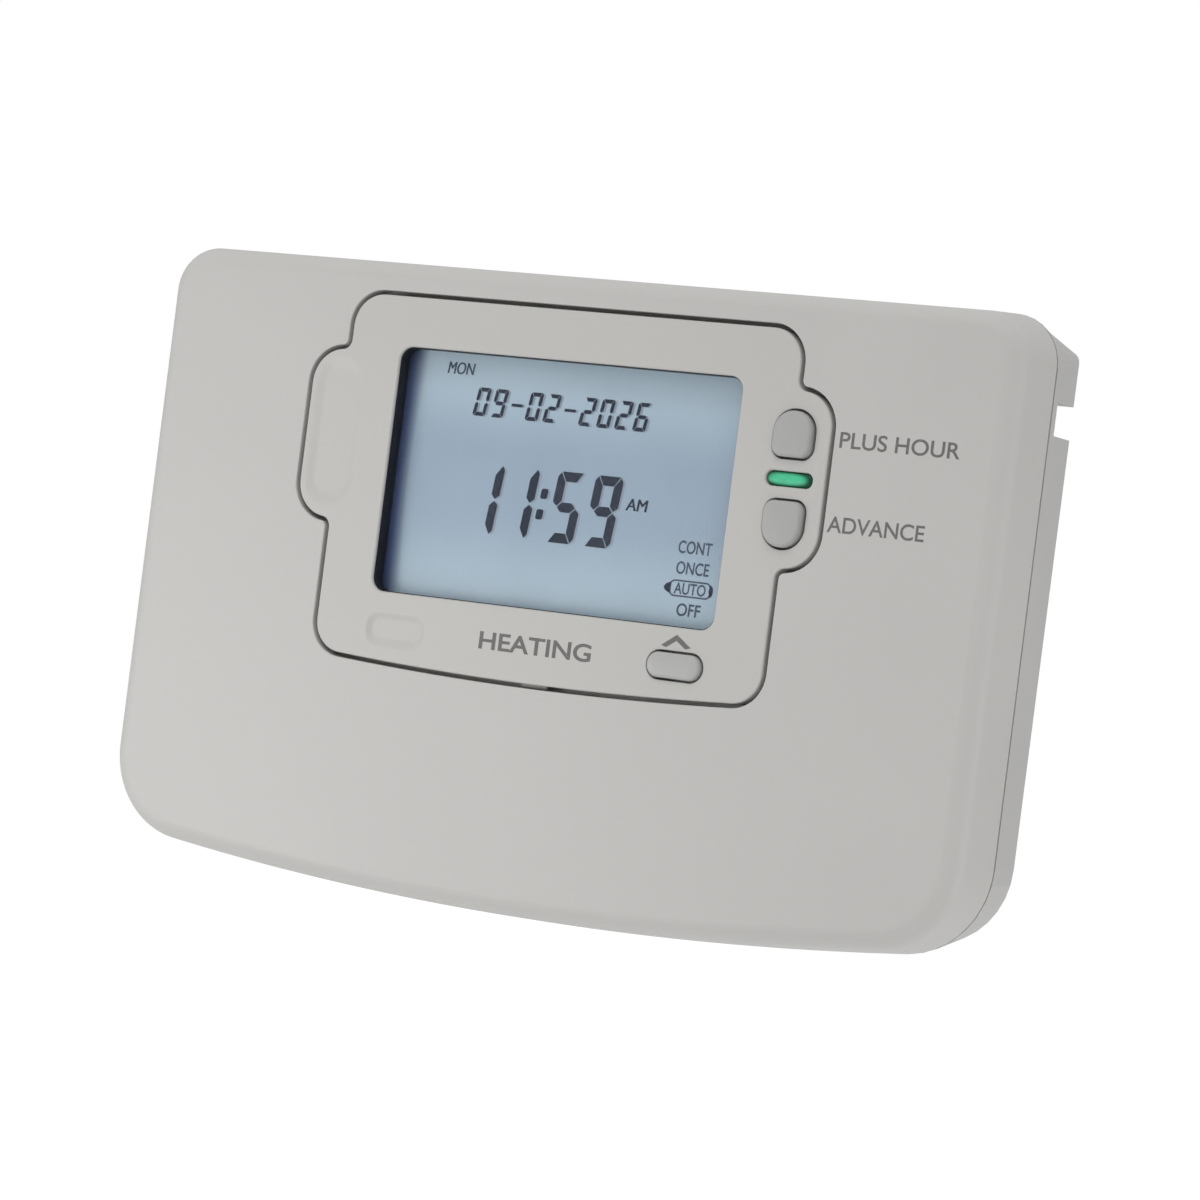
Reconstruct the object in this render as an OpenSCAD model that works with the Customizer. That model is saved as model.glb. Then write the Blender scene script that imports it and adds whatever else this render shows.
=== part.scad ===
// Wall-mounted heating timer: a display island with push buttons, a drop-down flap
// round it, a keypad deck under the flap, a rear housing and a wall plate.
// X runs right, Y runs into the wall, Z runs up. The wall is y = 0.

/* [Case] */
// Width of the case
case_w = 140; // [136:1:150]
// Height of the case at its middle
case_h = 90; // [88:1:96]
// Depth from the wall to the front face
case_d = 20; // [20:0.5:22]
// How far the curved bottom edge rises from its middle to a full case width
bottom_sag = 4.9; // [3:0.1:7]
// Radius of the top corners
top_r = 7; // [6:0.5:10]
// Radius of the bottom corners
bottom_r = 13; // [10:0.5:15]
// Rounding between the face and the sides
edge_r = 2.8; // [2.4:0.1:4]
// Thickness of the case walls
wall = 2; // [1.6:0.1:2.2]
// Depth of the flap, from the face to the parting line
flap_d = 9.5; // [9:0.1:10]

/* [Island] */
// Width of the display island between its straight sides
island_w = 73.2; // [70:0.2:76]
// Height of the island's top edge above the middle of the case
island_top = 39.7; // [38:0.1:40]
// Height of the island's bottom edge, at its middle
island_bottom = -12.36; // [-13:0.01:-11]
// Gap between the island and the flap
island_gap = 0.5; // [0.4:0.05:0.8]
// Width of the window over the display
window_w = 56.1; // [54:0.1:58]
// Height of the window
window_h = 34.7; // [33:0.1:35]
// Height of the window's middle
window_z = 15.3; // [15:0.1:15.5]

/* [Buttons] */
// Width of the two side buttons
button_w = 6; // [5.6:0.1:6.4]
// Height of the two side buttons
button_h = 6.3; // [6:0.1:6.4]
// How far the front buttons stand proud of the face
button_proud = 1; // [0.6:0.1:1.2]
// Clearance round a button in its hole
button_gap = 0.2; // [0.15:0.05:0.3]
// Distance from the case's middle to the side buttons
button_x = 36.95; // [36:0.05:37.2]

/* [Keypad] */
// Number of keys in the row under the flap
key_count = 6; // [6:1:6]
// Distance between neighbouring keys
key_pitch = 13.5; // [12:0.5:14]
// Height of the key row
key_z = -22; // [-23:0.5:-21]

/* [Hinge] */
// Radius of the flap's hinge pins
pin_r = 1; // [0.8:0.1:1.2]
// Distance from the case's middle to each flap lug's inner side
lug_x = 22; // [18:1:26]

/* [Wall fixing] */
// Distance between the two wall screws
fixing_pitch = 60.3; // [58:0.1:62]
// Width of the screw slots
slot_w = 4.4; // [4:0.1:5]
// Length of the screw slots
slot_l = 8; // [6:0.5:10]
// Height of the screw slots
fixing_z = -8; // [-10:0.5:-6]

/* [Hidden] */

// Planes across the depth, from the face back to the wall
face_y = -case_d;
skin = 2;
skin_y = face_y + skin;
part_y = face_y + flap_d;
part_gap = 0.25;
rim_y = -1.6;
deck_y = face_y + 3.5;
deck_t = 1.5;
deck_back_y = deck_y + deck_t;
lens_y = face_y + 2.4;
lens_t = 0.7;
lcd_y = lens_y + lens_t + 0.1;
lcd_t = 2;
board_y = face_y + 8;
board_t = 1.6;
board_back_y = board_y + board_t;
panel_y = -4.4;
panel_t = 1.4;
plate_t = 2.2;
eps = 0.01;

// Outline of the case
bottom_arc_r = (pow(case_w / 2, 2) + pow(bottom_sag, 2)) / (2 * bottom_sag);
bottom_arc_z = bottom_arc_r - case_h / 2;
side_draft = 0.45;
rear_taper = 1.6;

// Outline of the island
island_top_r = 4.7;
island_bottom_r = 4.5;
island_arc_r = 523;
grip_r = 5;
grip_x = 37.5;
grip_z = 19.5;
grip_half = 7;
neck_r = 1.5;
island_skirt = 1.6;
window_r = 2;

// Hinge of the flap
axis_y = face_y + 4.8;
axis_z = -39.4;
lug_t = 3;
lug_r = 2;
swing_r = 7.6;
swing_gap = 0.25;
trough_t = 0.8;

// Fixings inside the case
pillar_x = 53;
pillar_top_z = 31;
pillar_bottom_z = -26;
boss_x = 61.5;
boss_top_z = 16;
boss_bottom_z = -22;
lock_x = 30;
lock_y = -4.5;
lock_r = 1.25;

// Terminal block
way_count = 6;
way_pitch = 8.4;
block_w = way_count * way_pitch + 2;
block_z = [4, 24];
block_front_y = -9.6;
blade_z = 20;

// Places of the controls
led_z = 19.5;
side_button_z = 6.1;
select_x = 22.9;
select_z = -7.35;
select_w = 8.4;
select_h = 3.5;
recess_x = -23.1;
key_w = 9;
key_h = 6;
reset_x = 48;
slider_x = 57;
slider_z = 4;
slider_slot = 9;
key_top_y = skin_y + 0.6;
flange_y = deck_back_y + 0.1;
flange_t = 0.7;
stem_end_y = -13.6;
dome_h = 0.9;

function arc(c, r, from, to, steps, skip = 0) =
    [for (i = [skip : steps - skip])
        let (a = from + (to - from) * i / steps) [c[0] + r * cos(a), c[1] + r * sin(a)]];

function mirrored(points) =
    [for (i = [len(points) - 1 : -1 : 0]) [-points[i][0], points[i][1]]];

// Right-hand side of the case outline, from the bottom corner up, set in by inset
function case_side(inset) =
    let (x = case_w / 2 - bottom_r,
         z = bottom_arc_z - sqrt(pow(bottom_arc_r - bottom_r, 2) - x * x),
         half = atan2(x, bottom_arc_z - z))
    concat(arc([x, z], bottom_r - inset, 270 + half, 360, 8),
        arc([case_w / 2 - top_r, case_h / 2 - top_r], top_r - inset, 0, 90, 8));

function case_outline(inset) =
    let (x = case_w / 2 - bottom_r,
         z = bottom_arc_z - sqrt(pow(bottom_arc_r - bottom_r, 2) - x * x),
         half = atan2(x, bottom_arc_z - z))
    concat(case_side(inset), mirrored(case_side(inset)),
        arc([0, bottom_arc_z], bottom_arc_r - inset, 270 - half, 270 + half, 20, 1));

// Right-hand side of the rear rim: its top lies lower than the case's, with a tighter corner
function rim_side() =
    let (lower = case_side(rear_taper))
    concat([for (i = [0 : 8]) lower[i]],
        arc([case_w / 2 - 2.8, case_h / 2 - 5.3], 1.5, 0, 70, 4),
        [for (p = [[3.7, 3.4], [5.2, 2.8], [6.6, 2.3], [8.2, 2]]) [case_w / 2 - p[0], case_h / 2 - p[1]]]);

function rim_outline() =
    let (around = case_outline(rear_taper), n = len(rim_side()))
    concat(rim_side(), mirrored(rim_side()), [for (i = [2 * n : len(around) - 1]) around[i]]);

// Right-hand side of the island outline, from the bottom corner up, grown by grow
function island_side(grow) =
    let (hw = island_w / 2,
         arc_z = island_bottom + island_arc_r,
         cx = hw - island_bottom_r,
         cz = arc_z - sqrt(pow(island_arc_r - island_bottom_r, 2) - cx * cx),
         half = atan2(cx, arc_z - cz),
         fx = hw + neck_r,
         fz = sqrt(pow(grip_r + neck_r, 2) - pow(fx - grip_x, 2)),
         turn = atan2(fz, fx - grip_x))
    concat(arc([cx, cz], island_bottom_r + grow, 270 + half, 360, 6),
        arc([fx, grip_z - grip_half - fz], neck_r - grow, 180, 180 - turn, 4),
        arc([grip_x, grip_z - grip_half], grip_r + grow, -turn, 0, 8),
        arc([grip_x, grip_z + grip_half], grip_r + grow, 0, turn, 8),
        arc([fx, grip_z + grip_half + fz], neck_r - grow, 180 + turn, 180, 4),
        arc([hw - island_top_r, island_top - island_top_r], island_top_r + grow, 0, 90, 6));

function island_outline(grow) =
    let (hw = island_w / 2,
         arc_z = island_bottom + island_arc_r,
         cx = hw - island_bottom_r,
         cz = arc_z - sqrt(pow(island_arc_r - island_bottom_r, 2) - cx * cx),
         half = atan2(cx, arc_z - cz))
    concat(island_side(grow), mirrored(island_side(grow)),
        arc([0, arc_z], island_arc_r + grow, 270 - half, 270 + half, 10, 1));

// Rounded rectangle with corner radii for its top and its bottom
function rounded(cx, cz, w, h, rt, rb, steps = 6) =
    concat(arc([cx + w / 2 - rb, cz - h / 2 + rb], rb, -90, 0, steps),
        arc([cx + w / 2 - rt, cz + h / 2 - rt], rt, 0, 90, steps),
        arc([cx - w / 2 + rt, cz + h / 2 - rt], rt, 90, 180, steps),
        arc([cx - w / 2 + rb, cz - h / 2 + rb], rb, 180, 270, steps));

// Extrudes an X-Z outline along Y
module slab(y0, y1) {
    rotate([90, 0, 0]) translate([0, 0, -y1]) linear_extrude(y1 - y0) children();
}

// Box given by its low and high corners
module block(low, high) {
    translate(low) cube([high[0] - low[0], high[1] - low[1], high[2] - low[2]]);
}

// Cylinder along Y
module rod_y(x, z, r, y0, y1) {
    translate([x, y0, z]) rotate([-90, 0, 0]) cylinder(r = r, h = y1 - y0, $fn = 40);
}

// Cylinder along X
module rod_x(y, z, r, x0, x1) {
    translate([x0, y, z]) rotate([0, 90, 0]) cylinder(r = r, h = x1 - x0, $fn = 48);
}

// Closed skin through X-Z outlines, each with its own depth
module loft(depths, outlines, split = false) {
    n = len(outlines[0]);
    last = len(outlines) - 1;
    points = [for (k = [0 : last]) for (p = outlines[k]) [p[0], depths[k], p[1]]];
    quads = [for (k = [0 : last - 1]) for (j = [0 : n - 1])
        [k * n + j, k * n + (j + 1) % n, (k + 1) * n + (j + 1) % n, (k + 1) * n + j]];
    sides = split ? [for (q = quads) for (h = [0, 2]) [q[h], q[h + 1], q[(h + 2) % 4]]] : quads;
    front = [[for (j = [n - 1 : -1 : 0]) j]];
    back = [[for (j = [0 : n - 1]) last * n + j]];
    polyhedron(concat(points), concat(sides, front, back), convexity = 4);
}

// Repeats its children at mirrored X places
module both_sides() {
    children();
    mirror([1, 0, 0]) children();
}

module at_pillars() {
    for (x = [-pillar_x, pillar_x], z = [pillar_bottom_z, pillar_top_z])
        translate([x, 0, z]) children();
}

module at_bosses() {
    for (x = [-boss_x, boss_x], z = [boss_bottom_z, boss_top_z])
        translate([x, 0, z]) children();
}

// X places of the terminal block's ways
way_x = [for (i = [0 : way_count - 1]) (i - (way_count - 1) / 2) * way_pitch];
// X places of the key row
key_x = [for (i = [0 : key_count - 1]) -48 + key_w / 2 + 4 + i * key_pitch];

// ---------- Wall side ----------

module wall_plate() {
    color([0.86, 0.86, 0.84]) difference() {
        union() {
            slab(-plate_t, 0) polygon(rounded(0, 0, 108, 72, 4, 4));
            both_sides() {
                // Hooks that hold the top of the rear housing
                block([26, -6.2, 33], [34, -plate_t + eps, 34.5]);
                block([26, -6.2, 33], [34, -5, 36.5]);
                // Lugs that take the locking screws
                block([lock_x - 4, -6.6, -36], [lock_x + 4, -plate_t + eps, -31]);
            }
            // Rails beside the terminal block
            block([-block_w / 2 - 1.6, -5, block_z[0]], [-block_w / 2 - 0.1, -plate_t + eps, block_z[1]]);
            block([block_w / 2 + 0.1, -5, block_z[0]], [block_w / 2 + 1.6, -plate_t + eps, block_z[1]]);
        }
        for (x = [-fixing_pitch / 2, fixing_pitch / 2])
            translate([x, 0, fixing_z]) fixing_slot();
        // Cable entry below the terminal block
        slab(-plate_t - 1, 1) polygon(rounded(0, -14, 34, 22, 3, 3));
        both_sides() translate([lock_x, lock_y, -36 - eps])
            cylinder(r = lock_r, h = 4, $fn = 32);
    }
}

module fixing_slot() {
    span = slot_l - slot_w;
    for (dx = [-span / 2, span / 2]) rod_y(dx, 0, slot_w / 2, -plate_t - 1, 1);
    block([-span / 2, -plate_t - 1, -slot_w / 2], [span / 2, 1, slot_w / 2]);
}

module terminal_block() {
    color([0.93, 0.92, 0.88]) difference() {
        block([-block_w / 2, block_front_y, block_z[0]], [block_w / 2, -plate_t, block_z[1]]);
        for (x = way_x) {
            // Wire entry from below, clamp chamber, screw well and blade slot
            block([x - 2.2, -6.9, block_z[0] - 1], [x + 2.2, -3.4, 8]);
            block([x - 3, -7.4, 8], [x + 3, -3.2, 17]);
            rod_y(x, 12.5, 2.5, block_front_y - 1, -7);
            block([x - 0.7, block_front_y - 1, blade_z - 1.9], [x + 0.7, -4.4, blade_z + 1.9]);
        }
    }
}

module terminal_clamps() {
    color([0.83, 0.69, 0.36]) for (x = way_x) difference() {
        block([x - 2.9, -7.3, 8.1], [x + 2.9, -3.3, 16.9]);
        block([x - 1.9, -6.4, 8], [x + 1.9, -3.9, 17]);
        rod_y(x, 12.5, 1.45, -8, -5);
    }
}

module terminal_screws() {
    color([0.72, 0.72, 0.7]) for (x = way_x) difference() {
        union() {
            rod_y(x, 12.5, 2.3, -9.3, -7.4);
            rod_y(x, 12.5, 1.4, -7.5, -4.9);
        }
        block([x - 3, -9.5, 12.2], [x + 3, -8.6, 12.8]);
    }
}

// ---------- Case ----------

// Space that the flap's foot turns in: the curved bottom edge swept round the hinge
module swing_space() {
    reach = part_y - axis_y;
    profile = [for (x = [-70 : 5 : 70])
        let (drop = bottom_arc_z - sqrt(pow(bottom_arc_r, 2) - x * x) - axis_z)
            [sqrt(reach * reach + min(drop, 0) * min(drop, 0)) + swing_gap, x]];
    translate([0, axis_y, axis_z]) rotate([0, 90, 0])
        rotate_extrude($fn = 96) polygon(concat([[0, -70]], profile, [[0, 70]]));
}

// Hollow that a locking screw's head and lug need in the housing
module locking_pocket() {
    translate([lock_x, lock_y, -46]) cylinder(r = 2.2, h = 4.9, $fn = 40);
    translate([lock_x, lock_y, -46]) cylinder(r = 1.45, h = 10, $fn = 32);
    block([lock_x - 5, -7, -37], [lock_x + 5, 0, -30]);
}

module rear_housing() {
    front = part_y + part_gap;
    color([0.76, 0.76, 0.75]) difference() {
        union() {
            difference() {
                loft([front, rim_y], [case_outline(0), rim_outline()], true);
                loft([front - eps, rim_y + eps], [case_outline(wall), case_outline(wall + rear_taper)]);
            }
            slab(panel_y, panel_y + panel_t) polygon(case_outline(wall + 0.8));
            at_bosses() rod_y(0, 0, 3.4, panel_y - 1.4, panel_y + eps);
            // Seats of the locking screws
            both_sides() block([lock_x - 3.4, -6.6, -42], [lock_x + 3.4, rim_y - 0.4, -38.6]);
        }
        // Surface cable entry in the right-hand wall, and the panel cut back behind it
        block([58.5, -8.6, 29.3], [case_w / 2 + 1, 0, 33.8]);
        block([58.5, -8.6, 24.5], [66.2, 0, 37.5]);
        // Window for the terminal block and clearance for the wall screw heads
        slab(panel_y - 1, 0) polygon(rounded(0, 14, block_w + 5, 23, 2, 2));
        slab(panel_y - 1, 0) polygon(rounded(0, -15, 36, 24, 3, 3));
        for (x = [-fixing_pitch / 2, fixing_pitch / 2]) rod_y(x, fixing_z, 6, panel_y - 1, 0);
        both_sides() {
            block([25, panel_y - 1, 32], [35, 0, 35]);
            locking_pocket();
        }
        at_bosses() {
            rod_y(0, 0, 1.6, -8, 0);
            rod_y(0, 0, 2.7, -3.9, 0);
        }
        // Room for the foot of the flap as it swings
        swing_space();
    }
}

// Clip tongue that the flap's edge snaps past
module catch_tongue() {
    block([-2.1, face_y + 1.5, island_bottom - 0.45], [2.1, face_y + 2.3, island_bottom + 0.6]);
}

module island_shell() {
    difference() {
        union() {
            slab(face_y, skin_y) polygon(island_outline(0));
            slab(skin_y - eps, deck_back_y) difference() {
                polygon(island_outline(0));
                polygon(island_outline(-island_skirt));
            }
            catch_tongue();
        }
        slab(face_y - 1, skin_y + 1)
            polygon(rounded(0, window_z, window_w, window_h, window_r, window_r));
        side_button_hole(1);
        side_button_hole(-1);
        slab(face_y - 1, skin_y + 1)
            polygon(rounded(select_x, select_z,
                select_w + 2 * button_gap, select_h + 2 * button_gap, 1.9, 1.9));
        slab(face_y - 1, skin_y + 1) polygon(rounded(button_x, led_z, 7.2, 2.1, 1, 1));
        // Finger scoop on the left grip and the thumb recess below the window
        loft([face_y - 0.1, face_y + 0.12, face_y + 0.35],
            [rounded(-37.6, 19.8, 8.8, 21.4, 4.3, 4.3),
             rounded(-37.6, 19.8, 8.2, 20.8, 4, 4),
             rounded(-37.6, 19.8, 5, 17.6, 2.4, 2.4)]);
        loft([face_y - 0.1, face_y + 0.15, face_y + 0.4],
            [rounded(recess_x, select_z, 10.4, 5.1, 2.4, 2.4),
             rounded(recess_x, select_z, 10, 4.7, 2.2, 2.2),
             rounded(recess_x, select_z, 8, 2.9, 1.4, 1.4)]);
    }
}

// Outline of a side button: square towards the status lens, round away from it
module side_button_shape(side, grow) {
    w = button_w + 2 * grow;
    top = side > 0 ? w / 2 - 0.1 : 1.5 + grow;
    bottom = side > 0 ? 1.5 + grow : w / 2 - 0.1;
    polygon(rounded(button_x, led_z + side * side_button_z, w, button_h + 2 * grow, top, bottom, 10));
}

module side_button_hole(side) {
    slab(face_y - 1, skin_y + 1) side_button_shape(side, button_gap);
}

module deck() {
    difference() {
        slab(deck_y, deck_back_y) difference() {
            polygon(case_outline(wall + 0.9));
            translate([-80, -60]) square([160, 60 + axis_z + swing_r + trough_t / 2]);
            polygon(island_outline(-island_skirt));
        }
        for (x = key_x) slab(deck_y - 1, deck_back_y + 1)
            polygon(rounded(x, key_z, key_w + 0.5, key_h + 0.5, 1.4, 1.4));
        rod_y(reset_x, key_z, 1.9, deck_y - 1, deck_back_y + 1);
        slab(deck_y - 1, deck_back_y + 1)
            polygon(rounded(slider_x, slider_z, 4.4, slider_slot, 0.6, 0.6));
    }
}

// Curved trough that the flap's foot turns in
module trough() {
    intersection() {
        difference() {
            rod_x(axis_y, axis_z, swing_r + trough_t, -65.8, 65.8);
            rod_x(axis_y, axis_z, swing_r, -67, 67);
        }
        block([-66, deck_y, axis_z - 1], [66, 0, axis_z + 12]);
        slab(deck_y, 0) polygon(case_outline(wall + 1.9));
    }
}

module fascia_lugs() {
    both_sides() {
        x = lug_x + lug_t + 0.3;
        rod_x(axis_y, axis_z, lug_r, x, x + lug_t);
        block([x, axis_y - 1.6, axis_z], [x + lug_t, axis_y + 0.8, axis_z + swing_r + 0.4]);
    }
}

module inner_fascia() {
    color([0.77, 0.77, 0.75]) difference() {
        union() {
            island_shell();
            deck();
            trough();
            fascia_lugs();
            at_pillars() rod_y(0, 0, 2.6, deck_back_y - eps, board_y);
            at_bosses() rod_y(0, 0, 3, deck_back_y - eps, panel_y - 1.5);
            // Skirt that locates the fascia inside the rear housing
            slab(deck_back_y - eps, -9) difference() {
                polygon(case_outline(wall + 2.2));
                polygon(case_outline(wall + 3.4));
                translate([-80, -60]) square([160, 60 + axis_z + swing_r + trough_t]);
            }
        }
        both_sides() rod_x(axis_y, axis_z, pin_r, lug_x, lug_x + 2 * lug_t + 1);
        at_pillars() rod_y(0, 0, 1, board_y - 2.5, board_y + eps);
        at_bosses() rod_y(0, 0, 1.1, -12, 0);
    }
}

module hinge_pins() {
    color([0.75, 0.75, 0.76]) both_sides()
        rod_x(axis_y, axis_z, pin_r, lug_x + 0.2, lug_x + 2 * lug_t + 0.3);
}

module front_flap() {
    edge = [for (a = [0 : 15 : 90]) a];
    end = part_y - eps;
    depths = concat([for (a = edge) face_y + edge_r * (1 - cos(a))], [end]);
    insets = concat([for (a = edge) side_draft + edge_r * (1 - sin(a))], [0]);
    color([0.78, 0.78, 0.77]) difference() {
        union() {
            difference() {
                loft(depths, [for (inset = insets) case_outline(inset)]);
                slab(skin_y, 0) polygon(case_outline(wall + side_draft));
            }
            both_sides() {
                rod_x(axis_y, axis_z, lug_r, lug_x, lug_x + lug_t);
                block([lug_x, skin_y - eps, axis_z - 1.6], [lug_x + lug_t, axis_y, axis_z + lug_r]);
            }
        }
        slab(face_y - 1, skin_y + 1) polygon(island_outline(island_gap));
        both_sides() rod_x(axis_y, axis_z, pin_r + 0.05, lug_x - 1, lug_x + lug_t + 1);
    }
}

module case_screws() {
    color([0.6, 0.6, 0.6]) at_bosses() difference() {
        union() {
            rod_y(0, 0, 2.4, -3.9, -2.6);
            rod_y(0, 0, 1.1, -11, -3.8);
        }
        block([-1.4, -3.2, -0.25], [1.4, -2, 0.25]);
        block([-0.25, -3.2, -1.4], [0.25, -2, 1.4]);
    }
}

module locking_screws() {
    color([0.72, 0.72, 0.72]) both_sides() translate([lock_x, lock_y, 0]) difference() {
        union() {
            translate([0, 0, -42.7]) cylinder(r = 2, h = 1.6, $fn = 40);
            translate([0, 0, -41.2]) cylinder(r = lock_r, h = 8.4, $fn = 32);
        }
        block([-3, -0.3, -43], [3, 0.3, -42]);
    }
}

// ---------- Display ----------

module display_gasket() {
    color([0.03, 0.03, 0.04]) slab(face_y + 0.4, lens_y) difference() {
        polygon(rounded(0, window_z, window_w, window_h, window_r, window_r));
        polygon(rounded(0, window_z, window_w - 0.24, window_h - 0.24, window_r - 0.12, window_r - 0.12));
    }
}

module display_window() {
    color([0.85, 0.9, 0.92, 0.3])
        slab(lens_y, lens_y + lens_t) polygon(rounded(0, window_z, 62, 37.6, 1, 1));
}

module lcd_glass() {
    color([0.65, 0.71, 0.75]) union() {
        block([-31, lcd_y, -3.2], [31, lcd_y + lcd_t / 2, 34.4]);
        block([-31, lcd_y + lcd_t / 2, -1.2], [31, lcd_y + lcd_t, 32.4]);
    }
}

module lcd_holder() {
    color([0.9, 0.9, 0.88]) difference() {
        slab(lcd_y, board_y) polygon(rounded(0, 15.6, 65.4, 40.6, 1.2, 1.2));
        slab(lcd_y - 1, board_y + 1) polygon(rounded(0, 15.6, 62.6, 38, 0.3, 0.3));
    }
}

module backlight_panel() {
    color([0.8, 0.87, 0.9]) block([-30, lcd_y + lcd_t, -0.6], [30, board_y - 0.2, 31.8]);
}

module elastomer_strips() {
    color([0.75, 0.45, 0.5]) for (z = [-2.2, 33.4])
        block([-29, lcd_y + lcd_t / 2, z - 0.8], [29, board_y, z + 0.8]);
}

// ---------- Electronics ----------

module main_board() {
    color([0.16, 0.42, 0.24]) difference() {
        slab(board_y, board_back_y) polygon(rounded(0, 3.5, 115, 66, 2, 2));
        at_pillars() rod_y(0, 0, 1.2, board_y - 1, board_back_y + 1);
        for (x = way_x) block([x - 0.45, board_y - 1, blade_z - 1.6],
            [x + 0.45, board_back_y + 1, blade_z + 1.6]);
    }
}

module contact_blades() {
    color([0.78, 0.77, 0.72]) for (x = way_x)
        block([x - 0.4, board_y + 0.1, blade_z - 1.5], [x + 0.4, -5.2, blade_z + 1.5]);
}

// One snap dome standing on the board
module dome(x, z) {
    translate([x, board_y, z]) rotate([90, 0, 0])
        rotate_extrude($fn = 32)
            polygon(concat([[0, 0], [2.4, 0], [2.4, 0.25]],
                [for (a = [15 : 15 : 90]) [2.3 * cos(a), 0.25 + (dome_h - 0.25) * sin(a)]]));
}

module dome_switches() {
    color([0.8, 0.8, 0.8]) {
        for (x = key_x) dome(x, key_z);
        dome(reset_x, key_z);
        dome(button_x, led_z + side_button_z);
        dome(button_x, led_z - side_button_z);
        dome(select_x, select_z);
    }
}

module status_led() {
    color([0.9, 0.92, 0.85]) block([button_x - 1.6, board_y - 1.1, led_z - 0.8],
        [button_x + 1.6, board_y, led_z + 0.8]);
}

module status_lens() {
    color([0.3, 0.76, 0.58]) {
        slab(face_y + 0.1, skin_y) polygon(rounded(button_x, led_z, 7.1, 2, 0.98, 0.98));
        slab(skin_y, skin_y + 0.8) polygon(rounded(button_x, led_z, 7.8, 3, 1.2, 1.2));
        slab(skin_y + 0.8, board_y - 1.3) polygon(rounded(button_x, led_z, 4, 1.8, 0.8, 0.8));
    }
}

module relay() {
    color([0.12, 0.13, 0.15]) block([31, board_back_y, -6], [51, -4.9, 9]);
}

module film_capacitor() {
    color([0.75, 0.62, 0.2]) block([-51, board_back_y, -20], [-33, -5, -12]);
}

module electrolytic_capacitor() {
    color([0.1, 0.12, 0.2]) {
        rod_x(-7.7, 2, 2.6, -50, -38);
        block([-37.9, board_back_y, 1], [-36.5, -7.2, 1.6]);
        block([-37.9, board_back_y, 2.4], [-36.5, -7.2, 3]);
    }
}

module varistor() {
    color([0.15, 0.3, 0.6]) rod_y(40, 21, 5, board_back_y, -7);
}

module fuse() {
    color([0.8, 0.82, 0.8]) {
        rod_x(-8, -20, 2, 34, 48);
        for (x = [32.6, 48]) block([x, board_back_y, -22.2], [x + 1.4, -6, -17.8]);
    }
}

module processor_chip() {
    color([0.08, 0.08, 0.09]) {
        block([-46, board_back_y + 0.2, 13], [-36, board_back_y + 1.6, 23]);
        for (i = [0 : 9]) block([-46.8, board_back_y, 13.7 + 0.9 * i],
            [-35.2, board_back_y + 0.5, 14.1 + 0.9 * i]);
    }
}

module crystal() {
    color([0.78, 0.78, 0.8]) rod_x(-9.3, -5, 1.1, -50, -43);
}

module battery_cell() {
    color([0.8, 0.8, 0.8]) rod_y(0, -15, 10, board_back_y + 0.3, board_back_y + 3.5);
}

module battery_clip() {
    color([0.7, 0.7, 0.65]) difference() {
        union() {
            rod_y(0, -15, 11.2, board_back_y, board_back_y + 2.4);
            block([-13.5, board_back_y, -17.5], [13.5, board_back_y + 1, -12.5]);
        }
        rod_y(0, -15, 10.1, board_back_y + 0.3, 0);
    }
}

module slide_switch_case() {
    color([0.2, 0.2, 0.21]) block([slider_x - 2.6, deck_back_y + 0.9, slider_z - 5.4],
        [slider_x + 2, board_y, slider_z + 5.4]);
}

module board_screws() {
    color([0.6, 0.6, 0.6]) at_pillars() difference() {
        union() {
            rod_y(0, 0, 2.1, board_back_y, board_back_y + 1.3);
            rod_y(0, 0, 1, board_y - 2.4, board_back_y + eps);
        }
        block([-1.2, board_back_y + 0.6, -0.25], [1.2, 0, 0.25]);
        block([-0.25, board_back_y + 0.6, -1.2], [0.25, 0, 1.2]);
    }
}

// ---------- Moving controls ----------

// Stem from a button's flange down to its snap dome
module button_stem(x, z) {
    rod_y(x, z, 1.2, skin_y + 0.7, stem_end_y);
}

module side_button(side) {
    color([0.66, 0.66, 0.66]) {
        slab(face_y - button_proud, skin_y + 0.2) side_button_shape(side, 0);
        slab(skin_y + 0.1, skin_y + 0.8) side_button_shape(side, button_gap + 0.2);
        button_stem(button_x, led_z + side * side_button_z);
    }
}

module extra_time_button() {
    side_button(1);
}

module override_button() {
    side_button(-1);
}

module select_button() {
    color([0.71, 0.71, 0.7]) {
        slab(face_y - 0.7, skin_y + 0.2)
            polygon(rounded(select_x, select_z, select_w, select_h, 1.73, 1.73, 8));
        slab(skin_y + 0.1, skin_y + 0.8)
            polygon(rounded(select_x, select_z, select_w + 0.8, select_h + 0.8, 1.9, 1.9));
        button_stem(select_x, select_z);
    }
}

module deck_key(index) {
    x = key_x[index];
    color([0.5, 0.52, 0.55]) {
        slab(key_top_y, flange_y + 0.1) polygon(rounded(x, key_z, key_w, key_h, 1.2, 1.2));
        slab(flange_y, flange_y + flange_t) polygon(rounded(x, key_z, key_w + 1.6, key_h + 1.6, 1, 1, 3));
        rod_y(x, key_z, 1.2, flange_y + flange_t - eps, stem_end_y);
    }
}

module clock_key() {
    deck_key(0);
}

module program_key() {
    deck_key(1);
}

module day_key() {
    deck_key(2);
}

module minus_key() {
    deck_key(3);
}

module plus_key() {
    deck_key(4);
}

module copy_key() {
    deck_key(5);
}

module reset_key() {
    color([0.45, 0.2, 0.2]) {
        rod_y(reset_x, key_z, 1.6, deck_y - 0.4, flange_y + 0.1);
        rod_y(reset_x, key_z, 2.6, flange_y, flange_y + flange_t);
        rod_y(reset_x, key_z, 1.2, flange_y + flange_t - eps, stem_end_y);
    }
}

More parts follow.
